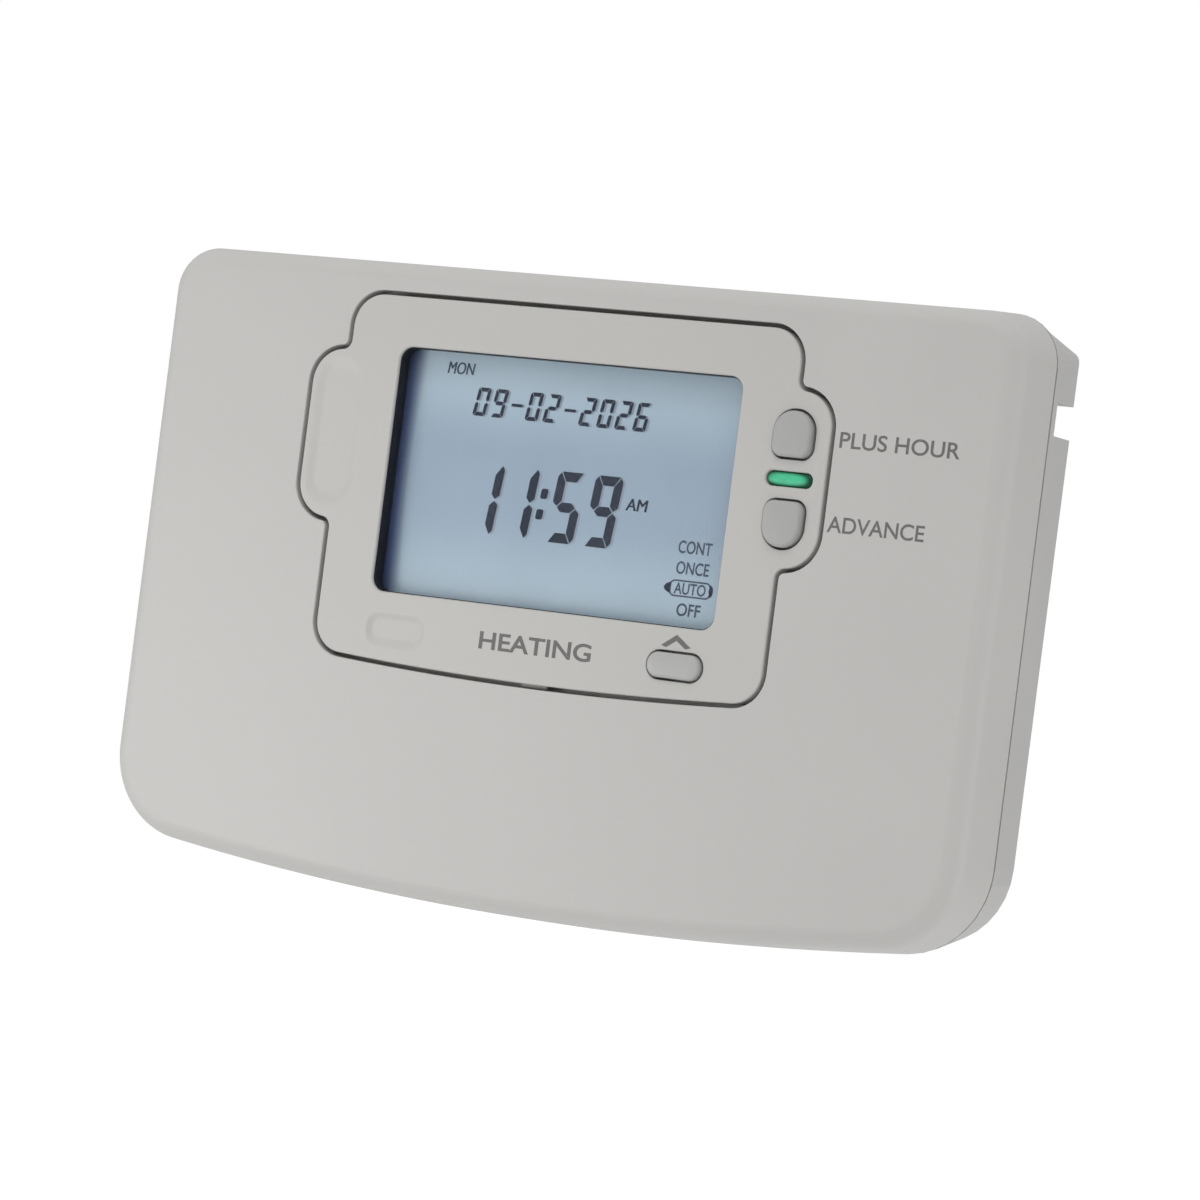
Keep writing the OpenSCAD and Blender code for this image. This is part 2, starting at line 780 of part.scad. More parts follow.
module mode_slider() {
    color([0.3, 0.31, 0.33]) difference() {
        union() {
            block([slider_x - 1.9, deck_y - 1, slider_z - 4.1],
                [slider_x + 1.9, deck_back_y + 0.1, slider_z + 0.1]);
            block([slider_x - 3, deck_back_y + 0.1, slider_z - 5],
                [slider_x + 3, deck_back_y + 0.7, slider_z + 1]);
        }
        for (i = [0 : 3]) block([slider_x - 3, deck_y - 1.2, slider_z - 3.6 + i],
            [slider_x + 3, deck_y - 0.7, slider_z - 3.2 + i]);
    }
}

wall_plate();
terminal_block();
terminal_clamps();
terminal_screws();
rear_housing();
inner_fascia();
hinge_pins();
display_gasket();
display_window();
lcd_glass();
lcd_holder();
backlight_panel();
elastomer_strips();
main_board();
contact_blades();
dome_switches();
status_led();
status_lens();
relay();
film_capacitor();
electrolytic_capacitor();
varistor();
fuse();
processor_chip();
crystal();
battery_cell();
battery_clip();
slide_switch_case();
board_screws();
case_screws();
locking_screws();
front_flap();
extra_time_button();
override_button();
select_button();
clock_key();
program_key();
day_key();
minus_key();
plus_key();
copy_key();
reset_key();
mode_slider();
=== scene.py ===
"""Finished look of a wall-mounted heating timer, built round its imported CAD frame.

Sizes in the classes are millimetres and meshes are written in metres. X runs right, Y runs
into the wall and Z runs up; an outline is a list of (x, z) points.
"""

import logging
import math
from dataclasses import dataclass
from enum import Enum
from typing import Callable, Iterable, Sequence

import bmesh
import bpy
from mathutils import Matrix, Vector
from mathutils.geometry import tessellate_polygon


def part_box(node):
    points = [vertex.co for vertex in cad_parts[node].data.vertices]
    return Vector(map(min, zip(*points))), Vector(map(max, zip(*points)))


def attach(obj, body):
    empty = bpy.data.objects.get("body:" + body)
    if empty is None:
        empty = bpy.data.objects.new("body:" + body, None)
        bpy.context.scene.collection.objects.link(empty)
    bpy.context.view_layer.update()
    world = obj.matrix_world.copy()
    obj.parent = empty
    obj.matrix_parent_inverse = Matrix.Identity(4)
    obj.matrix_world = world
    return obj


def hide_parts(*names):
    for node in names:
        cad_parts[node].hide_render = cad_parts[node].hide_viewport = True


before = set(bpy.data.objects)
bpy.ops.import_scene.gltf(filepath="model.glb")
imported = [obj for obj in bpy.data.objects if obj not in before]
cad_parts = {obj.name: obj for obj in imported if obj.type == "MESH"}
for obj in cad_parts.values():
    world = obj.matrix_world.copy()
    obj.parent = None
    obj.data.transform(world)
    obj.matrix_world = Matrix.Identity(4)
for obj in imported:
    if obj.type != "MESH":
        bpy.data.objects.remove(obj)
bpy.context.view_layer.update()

LOG = logging.getLogger("heating_timer")
MM = 0.001
Point = tuple[float, float]
Outline = list[Point]
Colour = tuple[float, float, float]
Ring = list[bmesh.types.BMVert]


class Body(Enum):
    """Moving bodies of the timer."""

    UNIT = "unit"
    FLAP = "flap"
    EXTRA_TIME = "extra_time"
    OVERRIDE = "override"
    SELECT = "select"
    CLOCK = "clock"
    PROGRAM = "program"
    DAY = "day"
    MINUS = "minus"
    PLUS = "plus"
    COPY = "copy"
    RESET = "reset"
    SLIDER = "slider"


class Slot(Enum):
    """Material slots of the record, handed along with each new piece."""

    CASE = "case_plastic"
    BUTTON = "button_plastic"
    SELECT = "select_plastic"
    KEY = "key_plastic"
    RESET = "reset_plastic"
    SLIDER = "slider_plastic"
    LCD = "lcd_glass"
    STATUS = "green_lens"


class Segment(Enum):
    """Bars of a seven-bar digit."""

    TOP = "a"
    UPPER_RIGHT = "b"
    LOWER_RIGHT = "c"
    BOTTOM = "d"
    LOWER_LEFT = "e"
    UPPER_LEFT = "f"
    MIDDLE = "g"


# ---------- Outlines ----------


def low_high(node: str) -> tuple[Vector, Vector]:
    """Corners of a CAD node's box, in millimetres.

    Args:
        node: Name of the CAD node.

    Returns:
        The lowest and the highest corner.
    """
    low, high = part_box(node)
    return low / MM, high / MM


def arc(centre: Point, radius: float, start: float, end: float, steps: int, skip: int = 0) -> Outline:
    """Points along an arc.

    Args:
        centre: Middle of the arc.
        radius: Radius of the arc.
        start: First angle in degrees, counted from +X towards +Z.
        end: Last angle in degrees.
        steps: Number of equal steps.
        skip: Points left out at both ends.

    Returns:
        The points in order.
    """
    angles = (math.radians(start + (end - start) * i / steps) for i in range(skip, steps + 1 - skip))
    return [(centre[0] + radius * math.cos(a), centre[1] + radius * math.sin(a)) for a in angles]


def mirrored(points: Outline) -> Outline:
    """The same points on the other side of X = 0, in running order."""
    return [(-x, z) for x, z in reversed(points)]


def rounded(
    centre: Point, size: Point, top_r: float, bottom_r: float | None = None, steps: int = 12
) -> Outline:
    """Rounded rectangle.

    Args:
        centre: Middle of the rectangle.
        size: Width and height.
        top_r: Radius of the upper corners.
        bottom_r: Radius of the lower corners, the same as the upper ones if left out.
        steps: Steps per corner.

    Returns:
        The closed outline.
    """
    (cx, cz), (w, h) = centre, size
    top = max(0.02, min(top_r, w / 2 - 0.01, h / 2 - 0.01))
    low = max(0.02, min(top_r if bottom_r is None else bottom_r, w / 2 - 0.01, h / 2 - 0.01))
    return (
        arc((cx + w / 2 - low, cz - h / 2 + low), low, -90, 0, steps)
        + arc((cx + w / 2 - top, cz + h / 2 - top), top, 0, 90, steps)
        + arc((cx - w / 2 + top, cz + h / 2 - top), top, 90, 180, steps)
        + arc((cx - w / 2 + low, cz - h / 2 + low), low, 180, 270, steps)
    )


def edge_profile(radius: float, steps: int) -> list[Point]:
    """Rounding of an edge as (inset, depth) pairs, from the face down to the side.

    Args:
        radius: Radius of the rounding.
        steps: Number of steps.

    Returns:
        The pairs, starting in the face.
    """
    angles = (math.radians(90 * i / steps) for i in range(steps + 1))
    return [(radius * (1 - math.sin(a)), radius * (1 - math.cos(a))) for a in angles]


@dataclass(frozen=True)
class CaseForm:
    """Outline of the case: straight sides, round corners and a gently curved bottom edge."""

    width: float
    height: float
    sag: float = 4.9
    top_r: float = 7.0
    bottom_r: float = 13.0

    @property
    def arc_r(self) -> float:
        """Radius of the bottom edge."""
        return ((self.width / 2) ** 2 + self.sag**2) / (2 * self.sag)

    def side(self, inset: float) -> Outline:
        """Right-hand side, from the bottom corner up.

        Args:
            inset: Distance that the outline is set in.

        Returns:
            The open run of points.
        """
        arc_z = self.arc_r - self.height / 2
        x = self.width / 2 - self.bottom_r
        z = arc_z - math.sqrt((self.arc_r - self.bottom_r) ** 2 - x * x)
        half = math.degrees(math.atan2(x, arc_z - z))
        top = (self.width / 2 - self.top_r, self.height / 2 - self.top_r)
        return arc(
            (x, z), self.bottom_r - inset, 270 + half, 360, 22
        ) + arc(top, self.top_r - inset, 0, 90, 18)

    def outline(self, inset: float = 0.0) -> Outline:
        """Closed outline set in by inset."""
        arc_z = self.arc_r - self.height / 2
        x = self.width / 2 - self.bottom_r
        z = arc_z - math.sqrt((self.arc_r - self.bottom_r) ** 2 - x * x)
        half = math.degrees(math.atan2(x, arc_z - z))
        side = self.side(inset)
        return side + mirrored(side) + arc((0, arc_z), self.arc_r - inset, 270 - half, 270 + half, 40, 1)

    def half_width(self, z: float, inset: float) -> float:
        """Half the width of the set-in case at a height.

        Args:
            z: The height.
            inset: Distance that the outline is set in.

        Returns:
            The half width, or a millimetre below the outline's lowest point.
        """
        arc_z = self.arc_r - self.height / 2
        foot = [(x, arc_z - math.sqrt((self.arc_r - inset) ** 2 - x * x)) for x in range(0, 56, 5)]
        run = foot + self.side(inset)
        for (x0, z0), (x1, z1) in zip(run, run[1:]):
            if z0 <= z <= z1 and z1 > z0:
                return x0 + (x1 - x0) * (z - z0) / (z1 - z0)
        return 1.0


@dataclass(frozen=True)
class IslandForm:
    """Outline of the display island: a panel with a rounded grip standing out on each side."""

    width: float = 73.2
    top: float = 39.7
    bottom: float = -12.36
    top_r: float = 4.7
    bottom_r: float = 4.5
    arc_r: float = 523.0
    grip: Point = (37.5, 19.5)
    grip_half: float = 7.0
    grip_r: float = 5.0
    neck_r: float = 1.5

    def outline(self, grow: float = 0.0) -> Outline:
        """Closed outline.

        Args:
            grow: Distance that the outline is let out, or set in if negative.

        Returns:
            The points, always the same number of them.
        """
        hw = self.width / 2
        arc_z = self.bottom + self.arc_r
        cx = hw - self.bottom_r
        cz = arc_z - math.sqrt((self.arc_r - self.bottom_r) ** 2 - cx * cx)
        half = math.degrees(math.atan2(cx, arc_z - cz))
        fx = hw + self.neck_r
        fz = math.sqrt((self.grip_r + self.neck_r) ** 2 - (fx - self.grip[0]) ** 2)
        turn = math.degrees(math.atan2(fz, fx - self.grip[0]))
        gx, gz = self.grip
        low, high = gz - self.grip_half, gz + self.grip_half
        side = (
            arc((cx, cz), self.bottom_r + grow, 270 + half, 360, 14)
            + arc((fx, low - fz), self.neck_r - grow, 180, 180 - turn, 10)
            + arc((gx, low), self.grip_r + grow, -turn, 0, 18)
            + arc((gx, high), self.grip_r + grow, 0, turn, 18)
            + arc((fx, high + fz), self.neck_r - grow, 180 + turn, 180, 10)
            + arc((hw - self.top_r, self.top - self.top_r), self.top_r + grow, 0, 90, 14)
        )
        foot = arc((0, arc_z), self.arc_r + grow, 270 - half, 270 + half, 24, 1)
        return side + mirrored(side) + foot


def cut_below(outline: Outline, z: float) -> Outline:
    """Part of a convex outline that lies above a height.

    Args:
        outline: Closed convex outline.
        z: The height.

    Returns:
        The closed remainder.
    """
    kept: Outline = []
    for (x0, z0), (x1, z1) in zip(outline, outline[1:] + outline[:1]):
        if z0 >= z:
            kept.append((x0, z0))
        if (z0 >= z) != (z1 >= z):
            kept.append((x0 + (x1 - x0) * (z - z0) / (z1 - z0), z))
    return kept


# ---------- Shader groups and finishes ----------


class Bench:
    """Adds and links shader nodes in one tree."""

    def __init__(self, tree: bpy.types.ShaderNodeTree) -> None:
        """Takes the tree to work in."""
        self.tree = tree

    def add(self, kind: str, **settings: object) -> bpy.types.Node:
        """Adds a node.

        Args:
            kind: Blender's name of the node type.
            settings: Attributes to set on it.

        Returns:
            The node.
        """
        node = self.tree.nodes.new(kind)
        for key, value in settings.items():
            setattr(node, key, value)
        return node

    def feed(self, node: bpy.types.Node, **values: object) -> bpy.types.Node:
        """Sets or links the inputs of a node, named with _ for each space.

        Args:
            node: The node.
            values: A socket to link from, or a plain value, for each input.

        Returns:
            The node.
        """
        for key, value in values.items():
            socket = node.inputs[key.replace("_", " ")]
            if isinstance(value, bpy.types.NodeSocket):
                self.tree.links.new(value, socket)
            else:
                socket.default_value = value
        return node

    def math(
        self, operation: str, first: object, second: object = 0.0, clamp: bool = False
    ) -> bpy.types.NodeSocket:
        """Adds a Math node.

        Args:
            operation: Its operation.
            first: Socket or number for the first input.
            second: Socket or number for the second input.
            clamp: Whether the result is held between 0 and 1.

        Returns:
            The result's socket.
        """
        node = self.add("ShaderNodeMath", operation=operation, use_clamp=clamp)
        for socket, value in zip(node.inputs, (first, second)):
            if isinstance(value, bpy.types.NodeSocket):
                self.tree.links.new(value, socket)
            else:
                socket.default_value = value
        return node.outputs[0]

    def spread(
        self, value: object, low: float, high: float, out_low: float, out_high: float
    ) -> bpy.types.NodeSocket:
        """Maps a value smoothly from one range to another.

        Args:
            value: Socket to map.
            low: Value that maps to out_low.
            high: Value that maps to out_high.
            out_low: Start of the new range.
            out_high: End of the new range.

        Returns:
            The mapped value's socket.
        """
        node = self.add("ShaderNodeMapRange", interpolation_type="SMOOTHSTEP")
        self.feed(node, Value=value, From_Min=low, From_Max=high, To_Min=out_low, To_Max=out_high)
        return node.outputs["Result"]

    def blend(self, mask: object, first: object, second: object) -> bpy.types.NodeSocket:
        """Mixes two colours.

        Args:
            mask: Socket that is 0 for the first colour and 1 for the second.
            first: Colour or socket.
            second: Colour or socket.

        Returns:
            The mixed colour's socket.
        """
        node = self.add("ShaderNodeMix", data_type="RGBA")
        sockets = [s for s in node.inputs if s.type == "RGBA"]
        factor = next(s for s in node.inputs if s.type == "VALUE")
        self.tree.links.new(mask, factor)
        for socket, value in zip(sockets, (first, second)):
            if isinstance(value, bpy.types.NodeSocket):
                self.tree.links.new(value, socket)
            else:
                socket.default_value = (*value, 1.0)
        return next(s for s in node.outputs if s.type == "RGBA")

    def noise(self, scale: object, detail: float = 2.0, vector: object = None) -> bpy.types.NodeSocket:
        """Adds a noise texture in the part's own coordinates.

        Args:
            scale: Number or socket for its scale.
            detail: Levels of detail.
            vector: Coordinates to use in place of the part's own.

        Returns:
            The noise value's socket.
        """
        place = vector or self.add("ShaderNodeTexCoord").outputs["Object"]
        node = self.add("ShaderNodeTexNoise")
        self.feed(node, Vector=place, Scale=scale, Detail=detail)
        return node.outputs["Fac"]


class Effects:
    """Shader node groups that several finishes share, each built once."""

    def __init__(self) -> None:
        """Builds all the groups."""
        self.grain = self._grain()
        self.handling = self._handling()
        self.wear = self._wear()
        self.dust = self._dust()

    @staticmethod
    def _new(
        name: str, inputs: dict[str, float], outputs: Sequence[str]
    ) -> tuple[Bench, bpy.types.Node, bpy.types.Node]:
        """Starts a group whose sockets are all numbers.

        Args:
            name: Name of the group.
            inputs: Default value for each input.
            outputs: Names of the outputs.

        Returns:
            The bench to work on, the group's input node and its output node.
        """
        tree = bpy.data.node_groups.new(name, "ShaderNodeTree")
        for key, value in inputs.items():
            socket = tree.interface.new_socket(key, in_out="INPUT", socket_type="NodeSocketFloat")
            socket.default_value = value
        for key in outputs:
            tree.interface.new_socket(key, in_out="OUTPUT", socket_type="NodeSocketFloat")
        return Bench(tree), tree.nodes.new("NodeGroupInput"), tree.nodes.new("NodeGroupOutput")

    def _grain(self) -> bpy.types.ShaderNodeTree:
        """Spark-eroded mould texture: fine pits on a slower ripple."""
        bench, start, end = self._new("Mould grain", {"Scale": 4000.0}, ("Height", "Fleck"))
        place = bench.add("ShaderNodeTexCoord").outputs["Object"]
        fine = bench.noise(start.outputs["Scale"], 3.0, place)
        pits = bench.add("ShaderNodeTexVoronoi", feature="SMOOTH_F1")
        bench.feed(pits, Vector=place, Scale=bench.math("MULTIPLY", start.outputs["Scale"], 0.55))
        height = bench.math(
            "ADD",
            bench.math("MULTIPLY", fine, 0.6),
            bench.math("MULTIPLY", pits.outputs["Distance"], 0.5),
        )
        bench.tree.links.new(height, end.inputs["Height"])
        bench.tree.links.new(bench.spread(fine, 0.35, 0.65, 0.0, 1.0), end.inputs["Fleck"])
        return bench.tree

    def _handling(self) -> bpy.types.ShaderNodeTree:
        """Slow patches where hands have left the surface smoother or duller."""
        bench, start, end = self._new("Handling", {"Scale": 45.0}, ("Patches",))
        slow = bench.noise(start.outputs["Scale"], 4.0)
        bench.tree.links.new(bench.spread(slow, 0.3, 0.7, 0.0, 1.0), end.inputs["Patches"])
        return bench.tree

    def _wear(self) -> bpy.types.ShaderNodeTree:
        """Rubbed edges: a mask where the surface turns within a given radius."""
        bench, start, end = self._new("Edge wear", {"Radius": 0.0004, "Break up": 900.0}, ("Mask",))
        bevel = bench.add("ShaderNodeBevel", samples=4)
        bench.feed(bevel, Radius=start.outputs["Radius"])
        facing = bench.add("ShaderNodeVectorMath", operation="DOT_PRODUCT")
        bench.tree.links.new(bevel.outputs["Normal"], facing.inputs[0])
        bench.tree.links.new(bench.add("ShaderNodeNewGeometry").outputs["Normal"], facing.inputs[1])
        turned = bench.spread(facing.outputs["Value"], 0.995, 0.85, 0.0, 1.0)
        broken = bench.spread(bench.noise(start.outputs["Break up"], 2.0), 0.25, 0.7, 0.25, 1.0)
        bench.tree.links.new(bench.math("MULTIPLY", turned, broken, True), end.inputs["Mask"])
        return bench.tree

    def _dust(self) -> bpy.types.ShaderNodeTree:
        """Dust that settles on surfaces that face up."""
        bench, start, end = self._new("Settled dust", {"Amount": 0.3}, ("Mask",))
        split = bench.add("ShaderNodeSeparateXYZ")
        bench.tree.links.new(bench.add("ShaderNodeNewGeometry").outputs["Normal"], split.inputs[0])
        upward = bench.spread(split.outputs["Z"], 0.55, 0.98, 0.0, 1.0)
        specks = bench.spread(bench.noise(700.0, 5.0), 0.4, 0.75, 0.0, 1.0)
        mask = bench.math("MULTIPLY", bench.math("MULTIPLY", upward, specks), start.outputs["Amount"], True)
        bench.tree.links.new(mask, end.inputs["Mask"])
        return bench.tree


EFFECTS = Effects()


def tinted(colour: Colour, factor: float) -> Colour:
    """The colour made lighter or darker by a factor."""
    return tuple(min(1.0, c * factor) for c in colour)


@dataclass(frozen=True)
class Finish:
    """A finish that every piece can wear; the kinds below say what it is made of."""

    name: str
    colour: Colour

    def _start(self) -> tuple[bpy.types.Material, Bench, bpy.types.Node]:
        """New material with an empty Principled shader.

        Returns:
            The material, a bench on its nodes and the shader node.
        """
        material = bpy.data.materials.new(self.name)
        material.use_nodes = True
        shader = next(n for n in material.node_tree.nodes if n.type == "BSDF_PRINCIPLED")
        material.diffuse_color = (*self.colour, 1.0)
        return material, Bench(material.node_tree), shader

    @staticmethod
    def _group(bench: Bench, tree: bpy.types.ShaderNodeTree, **values: float) -> bpy.types.Node:
        """Places a shared effect.

        Args:
            bench: Bench of the material.
            tree: The shared group.
            values: Its inputs.

        Returns:
            The group node.
        """
        return bench.feed(bench.add("ShaderNodeGroup", node_tree=tree), **values)

    @staticmethod
    def _bump(
        bench: Bench, shader: bpy.types.Node, height: object, strength: float, distance: float
    ) -> None:
        """Turns a height into the shader's normal.

        Args:
            bench: Bench of the material.
            shader: The Principled node.
            height: Socket of the height.
            strength: Strength of the bump.
            distance: Real height of the relief, in metres.
        """
        bump = bench.feed(bench.add("ShaderNodeBump"), Height=height, Strength=strength, Distance=distance)
        bench.feed(shader, Normal=bump.outputs["Normal"])

    def material(self) -> bpy.types.Material:
        """The material, built on first use and shared after that."""
        found = bpy.data.materials.get(self.name)
        return found or self.build()

    def build(self) -> bpy.types.Material:
        """Builds the material; each kind of finish has its own way."""
        raise NotImplementedError(self.name)


@dataclass(frozen=True)
class Plastic(Finish):
    """Moulded plastic with eroded grain, handled patches, rubbed edges and a little dust."""

    roughness: float = 0.48
    grain: float = 3800.0
    relief: float = 0.000012
    wear: float = 0.35
    dust: float = 0.25
    specular: float = 0.45

    def build(self) -> bpy.types.Material:
        """Builds the plastic."""
        material, bench, shader = self._start()
        grain = self._group(bench, EFFECTS.grain, Scale=self.grain)
        patches = self._group(bench, EFFECTS.handling, Scale=38.0).outputs["Patches"]
        wear = self._group(bench, EFFECTS.wear, Radius=0.00035, Break_up=900.0).outputs["Mask"]
        dust = self._group(bench, EFFECTS.dust, Amount=self.dust).outputs["Mask"]
        base = bench.blend(patches, tinted(self.colour, 0.985), tinted(self.colour, 1.012))
        fleck = bench.math("MULTIPLY", grain.outputs["Fleck"], 0.18)
        base = bench.blend(fleck, base, tinted(self.colour, 0.93))
        base = bench.blend(bench.math("MULTIPLY", wear, self.wear), base, tinted(self.colour, 1.16))
        base = bench.blend(dust, base, (0.62, 0.61, 0.58))
        rough = bench.math("ADD", bench.math("MULTIPLY", patches, 0.07), self.roughness - 0.035)
        rough = bench.math("SUBTRACT", rough, bench.math("MULTIPLY", wear, 0.12), True)
        bench.feed(shader, Base_Color=base, Roughness=rough, Specular_IOR_Level=self.specular)
        self._bump(bench, shader, grain.outputs["Height"], 0.6, self.relief)
        return material


@dataclass(frozen=True)
class Metal(Finish):
    """Plated or bright metal with drawn lines and rubbed edges."""

    roughness: float = 0.3
    lines: Point = (900.0, 6000.0)

    def build(self) -> bpy.types.Material:
        """Builds the metal."""
        material, bench, shader = self._start()
        place = bench.add("ShaderNodeTexCoord").outputs["Object"]
        stretch = bench.add("ShaderNodeMapping")
        bench.feed(stretch, Vector=place, Scale=(self.lines[0], self.lines[1], self.lines[1]))
        drawn = bench.noise(1.0, 3.0, stretch.outputs["Vector"])
        patches = self._group(bench, EFFECTS.handling, Scale=220.0).outputs["Patches"]
        wear = self._group(bench, EFFECTS.wear, Radius=0.0002, Break_up=2500.0).outputs["Mask"]
        base = bench.blend(patches, tinted(self.colour, 0.86), self.colour)
        base = bench.blend(bench.math("MULTIPLY", wear, 0.5), base, tinted(self.colour, 1.2))
        rough = bench.math("ADD", bench.math("MULTIPLY", drawn, 0.16), self.roughness - 0.08)
        bench.feed(shader, Base_Color=base, Roughness=rough, Metallic=1.0)
        self._bump(bench, shader, drawn, 0.3, 0.000006)
        return material


@dataclass(frozen=True)
class Ink(Finish):
    """Pad-printed ink, a little thin in places."""

    ground: Colour = (0.5, 0.5, 0.49)
    roughness: float = 0.55
    specular: float = 0.3

    def build(self) -> bpy.types.Material:
        """Builds the ink."""
        material, bench, shader = self._start()
        thin = bench.spread(bench.noise(2600.0, 3.0), 0.52, 0.8, 0.0, 0.35)
        grain = self._group(bench, EFFECTS.grain, Scale=3800.0)
        bench.feed(
            shader,
            Base_Color=bench.blend(thin, self.colour, self.ground),
            Specular_IOR_Level=self.specular,
        )
        bench.feed(
            shader, Roughness=bench.math("ADD", bench.math("MULTIPLY", thin, 0.3), self.roughness - 0.05)
        )
        self._bump(bench, shader, grain.outputs["Height"], 0.4, 0.000008)
        return material


@dataclass(frozen=True)
class DisplayGlass(Finish):
    """Reflective liquid-crystal panel: pale blue, with painted shade: a shadow band along the window's left
    wall and a darker middle height, lighter again at the top.
    """

    # Dark blue of the painted shade; the shade mask in build blends the panel's colour towards it.
    rim: Colour = (0.05, 0.085, 0.22)
    low: Point = (-28.0, -2.0)
    high: Point = (28.0, 32.6)

    def build(self) -> bpy.types.Material:
        """Builds the panel's finish."""
        material, bench, shader = self._start()
        place = bench.add("ShaderNodeTexCoord").outputs["Object"]
        split = bench.feed(bench.add("ShaderNodeSeparateXYZ"), Vector=place)
        x, z = split.outputs["X"], split.outputs["Z"]
        # Painted shadow of the window's left wall: a dark band along the left of the panel.
        left = bench.spread(x, self.low[0] * MM, (self.low[0] + 3.2) * MM, 1.0, 0.0)
        # Painted light near the top: takes the middle's painted darkening back under the window's frame.
        top = bench.spread(z, (self.high[1] - 14.0) * MM, (self.high[1] - 2.0) * MM, 0.0, 0.3)
        # Painted shade standing in for uneven reflection: darker from the foot up to the middle height.
        slope = bench.spread(z, self.low[1] * MM, (self.low[1] + 14.0) * MM, 0.0, 0.32)
        slope = bench.math("SUBTRACT", slope, top, True)
        shade = bench.math("MAXIMUM", left, slope, True)
        patches = self._group(bench, EFFECTS.handling, Scale=60.0).outputs["Patches"]
        fleck = self._group(bench, EFFECTS.grain, Scale=2600.0)
        base = bench.blend(patches, tinted(self.colour, 0.97), tinted(self.colour, 1.03))
        base = bench.blend(
            bench.math("MULTIPLY", fleck.outputs["Fleck"], 0.12), base, tinted(self.colour, 0.8)
        )
        # Painted shade: the panel's colour blended towards the dark rim colour by the mask.
        bench.feed(shader, Base_Color=bench.blend(shade, base, self.rim), Coat_Roughness=0.1)
        bench.feed(shader, Roughness=bench.math("ADD", bench.math("MULTIPLY", patches, 0.06), 0.4))
        bench.feed(shader, Coat_Weight=0.06, Specular_IOR_Level=0.25)
        self._bump(bench, shader, fleck.outputs["Height"], 0.2, 0.000004)
        return material


@dataclass(frozen=True)
class ClearGlass(Finish):
    """Clear polycarbonate with faint smears."""

    opacity: float = 0.02

    def build(self) -> bpy.types.Material:
        """Builds the clear plastic."""
        material, bench, shader = self._start()
        smears = self._group(bench, EFFECTS.handling, Scale=55.0).outputs["Patches"]
        ripple = self._group(bench, EFFECTS.grain, Scale=350.0)
        bench.feed(shader, Base_Color=bench.blend(smears, self.colour, tinted(self.colour, 0.92)), IOR=1.58)
        bench.feed(shader, Roughness=bench.spread(smears, 0.0, 1.0, 0.04, 0.1))
        bench.feed(shader, Alpha=bench.spread(smears, 0.0, 1.0, self.opacity * 0.8, self.opacity * 1.3))
        self._bump(bench, shader, ripple.outputs["Height"], 0.1, 0.000004)
        material.surface_render_method = "BLENDED"
        return material


@dataclass(frozen=True)
class Lamp(Finish):
    """Tinted lens lit from behind: bright in the middle, deep at the rim."""

    deep: Colour = (0.0, 0.05, 0.022)
    centre: Point = (36.85, 19.5)
    half: Point = (3.5, 1.0)
    strength: float = 0.25

    def build(self) -> bpy.types.Material:
        """Builds the lit lens."""
        material, bench, shader = self._start()
        place = bench.add("ShaderNodeTexCoord").outputs["Object"]
        split = bench.feed(bench.add("ShaderNodeSeparateXYZ"), Vector=place)
        across = bench.math(
            "DIVIDE",
            bench.math("SUBTRACT", split.outputs["X"], (self.centre[0] - 0.3) * MM),
            self.half[0] * MM,
        )
        above = bench.math(
            "DIVIDE", bench.math("SUBTRACT", split.outputs["Z"], self.centre[1] * MM), self.half[1] * MM
        )
        reach = bench.math(
            "ADD",
            bench.math("POWER", bench.math("ABSOLUTE", across), 3.0),
            bench.math("POWER", above, 2.0),
        )
        fade = bench.spread(reach, 0.15, 1.0, 0.0, 1.0)
        ripple = self._group(bench, EFFECTS.grain, Scale=900.0)
        glow = bench.blend(
            bench.math("MULTIPLY", ripple.outputs["Fleck"], 0.12),
            bench.blend(fade, self.colour, self.deep),
            self.deep,
        )
        bench.feed(
            shader, Base_Color=glow, Emission_Color=glow, Emission_Strength=self.strength, Roughness=0.34
        )
        bench.feed(shader, Coat_Weight=0.12, Coat_Roughness=0.2, Specular_IOR_Level=0.3)
        self._bump(bench, shader, ripple.outputs["Height"], 0.15, 0.00001)
        return material


@dataclass(frozen=True)
class Board(Finish):
    """Circuit board: solder mask over copper tracks."""

    track: Colour = (0.05, 0.26, 0.11)

    def build(self) -> bpy.types.Material:
        """Builds the board's finish."""
        material, bench, shader = self._start()
        place = bench.add("ShaderNodeTexCoord").outputs["Object"]
        turn = bench.feed(bench.add("ShaderNodeMapping"), Vector=place, Rotation=(math.pi / 2, 0.0, 0.0))
        bricks = bench.add("ShaderNodeTexBrick", offset=0.37, squash=1.6, squash_frequency=3)
        bench.feed(bricks, Vector=turn.outputs["Vector"], Scale=140.0, Mortar_Size=0.09, Mortar_Smooth=0.2)
        patches = self._group(bench, EFFECTS.handling, Scale=90.0).outputs["Patches"]
        base = bench.blend(patches, tinted(self.colour, 0.9), self.colour)
        base = bench.blend(bricks.outputs["Fac"], base, self.track)
        bench.feed(shader, Base_Color=base, Roughness=bench.spread(patches, 0.0, 1.0, 0.28, 0.4))
        self._bump(bench, shader, bricks.outputs["Fac"], 0.4, 0.00004)
        return material


@dataclass(frozen=True)
class Matt(Finish):
    """Matt wall paint or paper, for the floor and the label inside the flap."""

    roughness: float = 0.85
    grain: float = 900.0

    def build(self) -> bpy.types.Material:
        """Builds the matt surface."""
        material, bench, shader = self._start()
        grain = self._group(bench, EFFECTS.grain, Scale=self.grain)
        patches = self._group(bench, EFFECTS.handling, Scale=6.0).outputs["Patches"]
        bench.feed(shader, Base_Color=bench.blend(patches, self.colour, tinted(self.colour, 0.985)))
        bench.feed(
            shader,
            Roughness=bench.spread(
                grain.outputs["Fleck"], 0.0, 1.0, self.roughness - 0.06, self.roughness
            ),
        )
        self._bump(bench, shader, grain.outputs["Height"], 0.2, 0.00002)
        return material


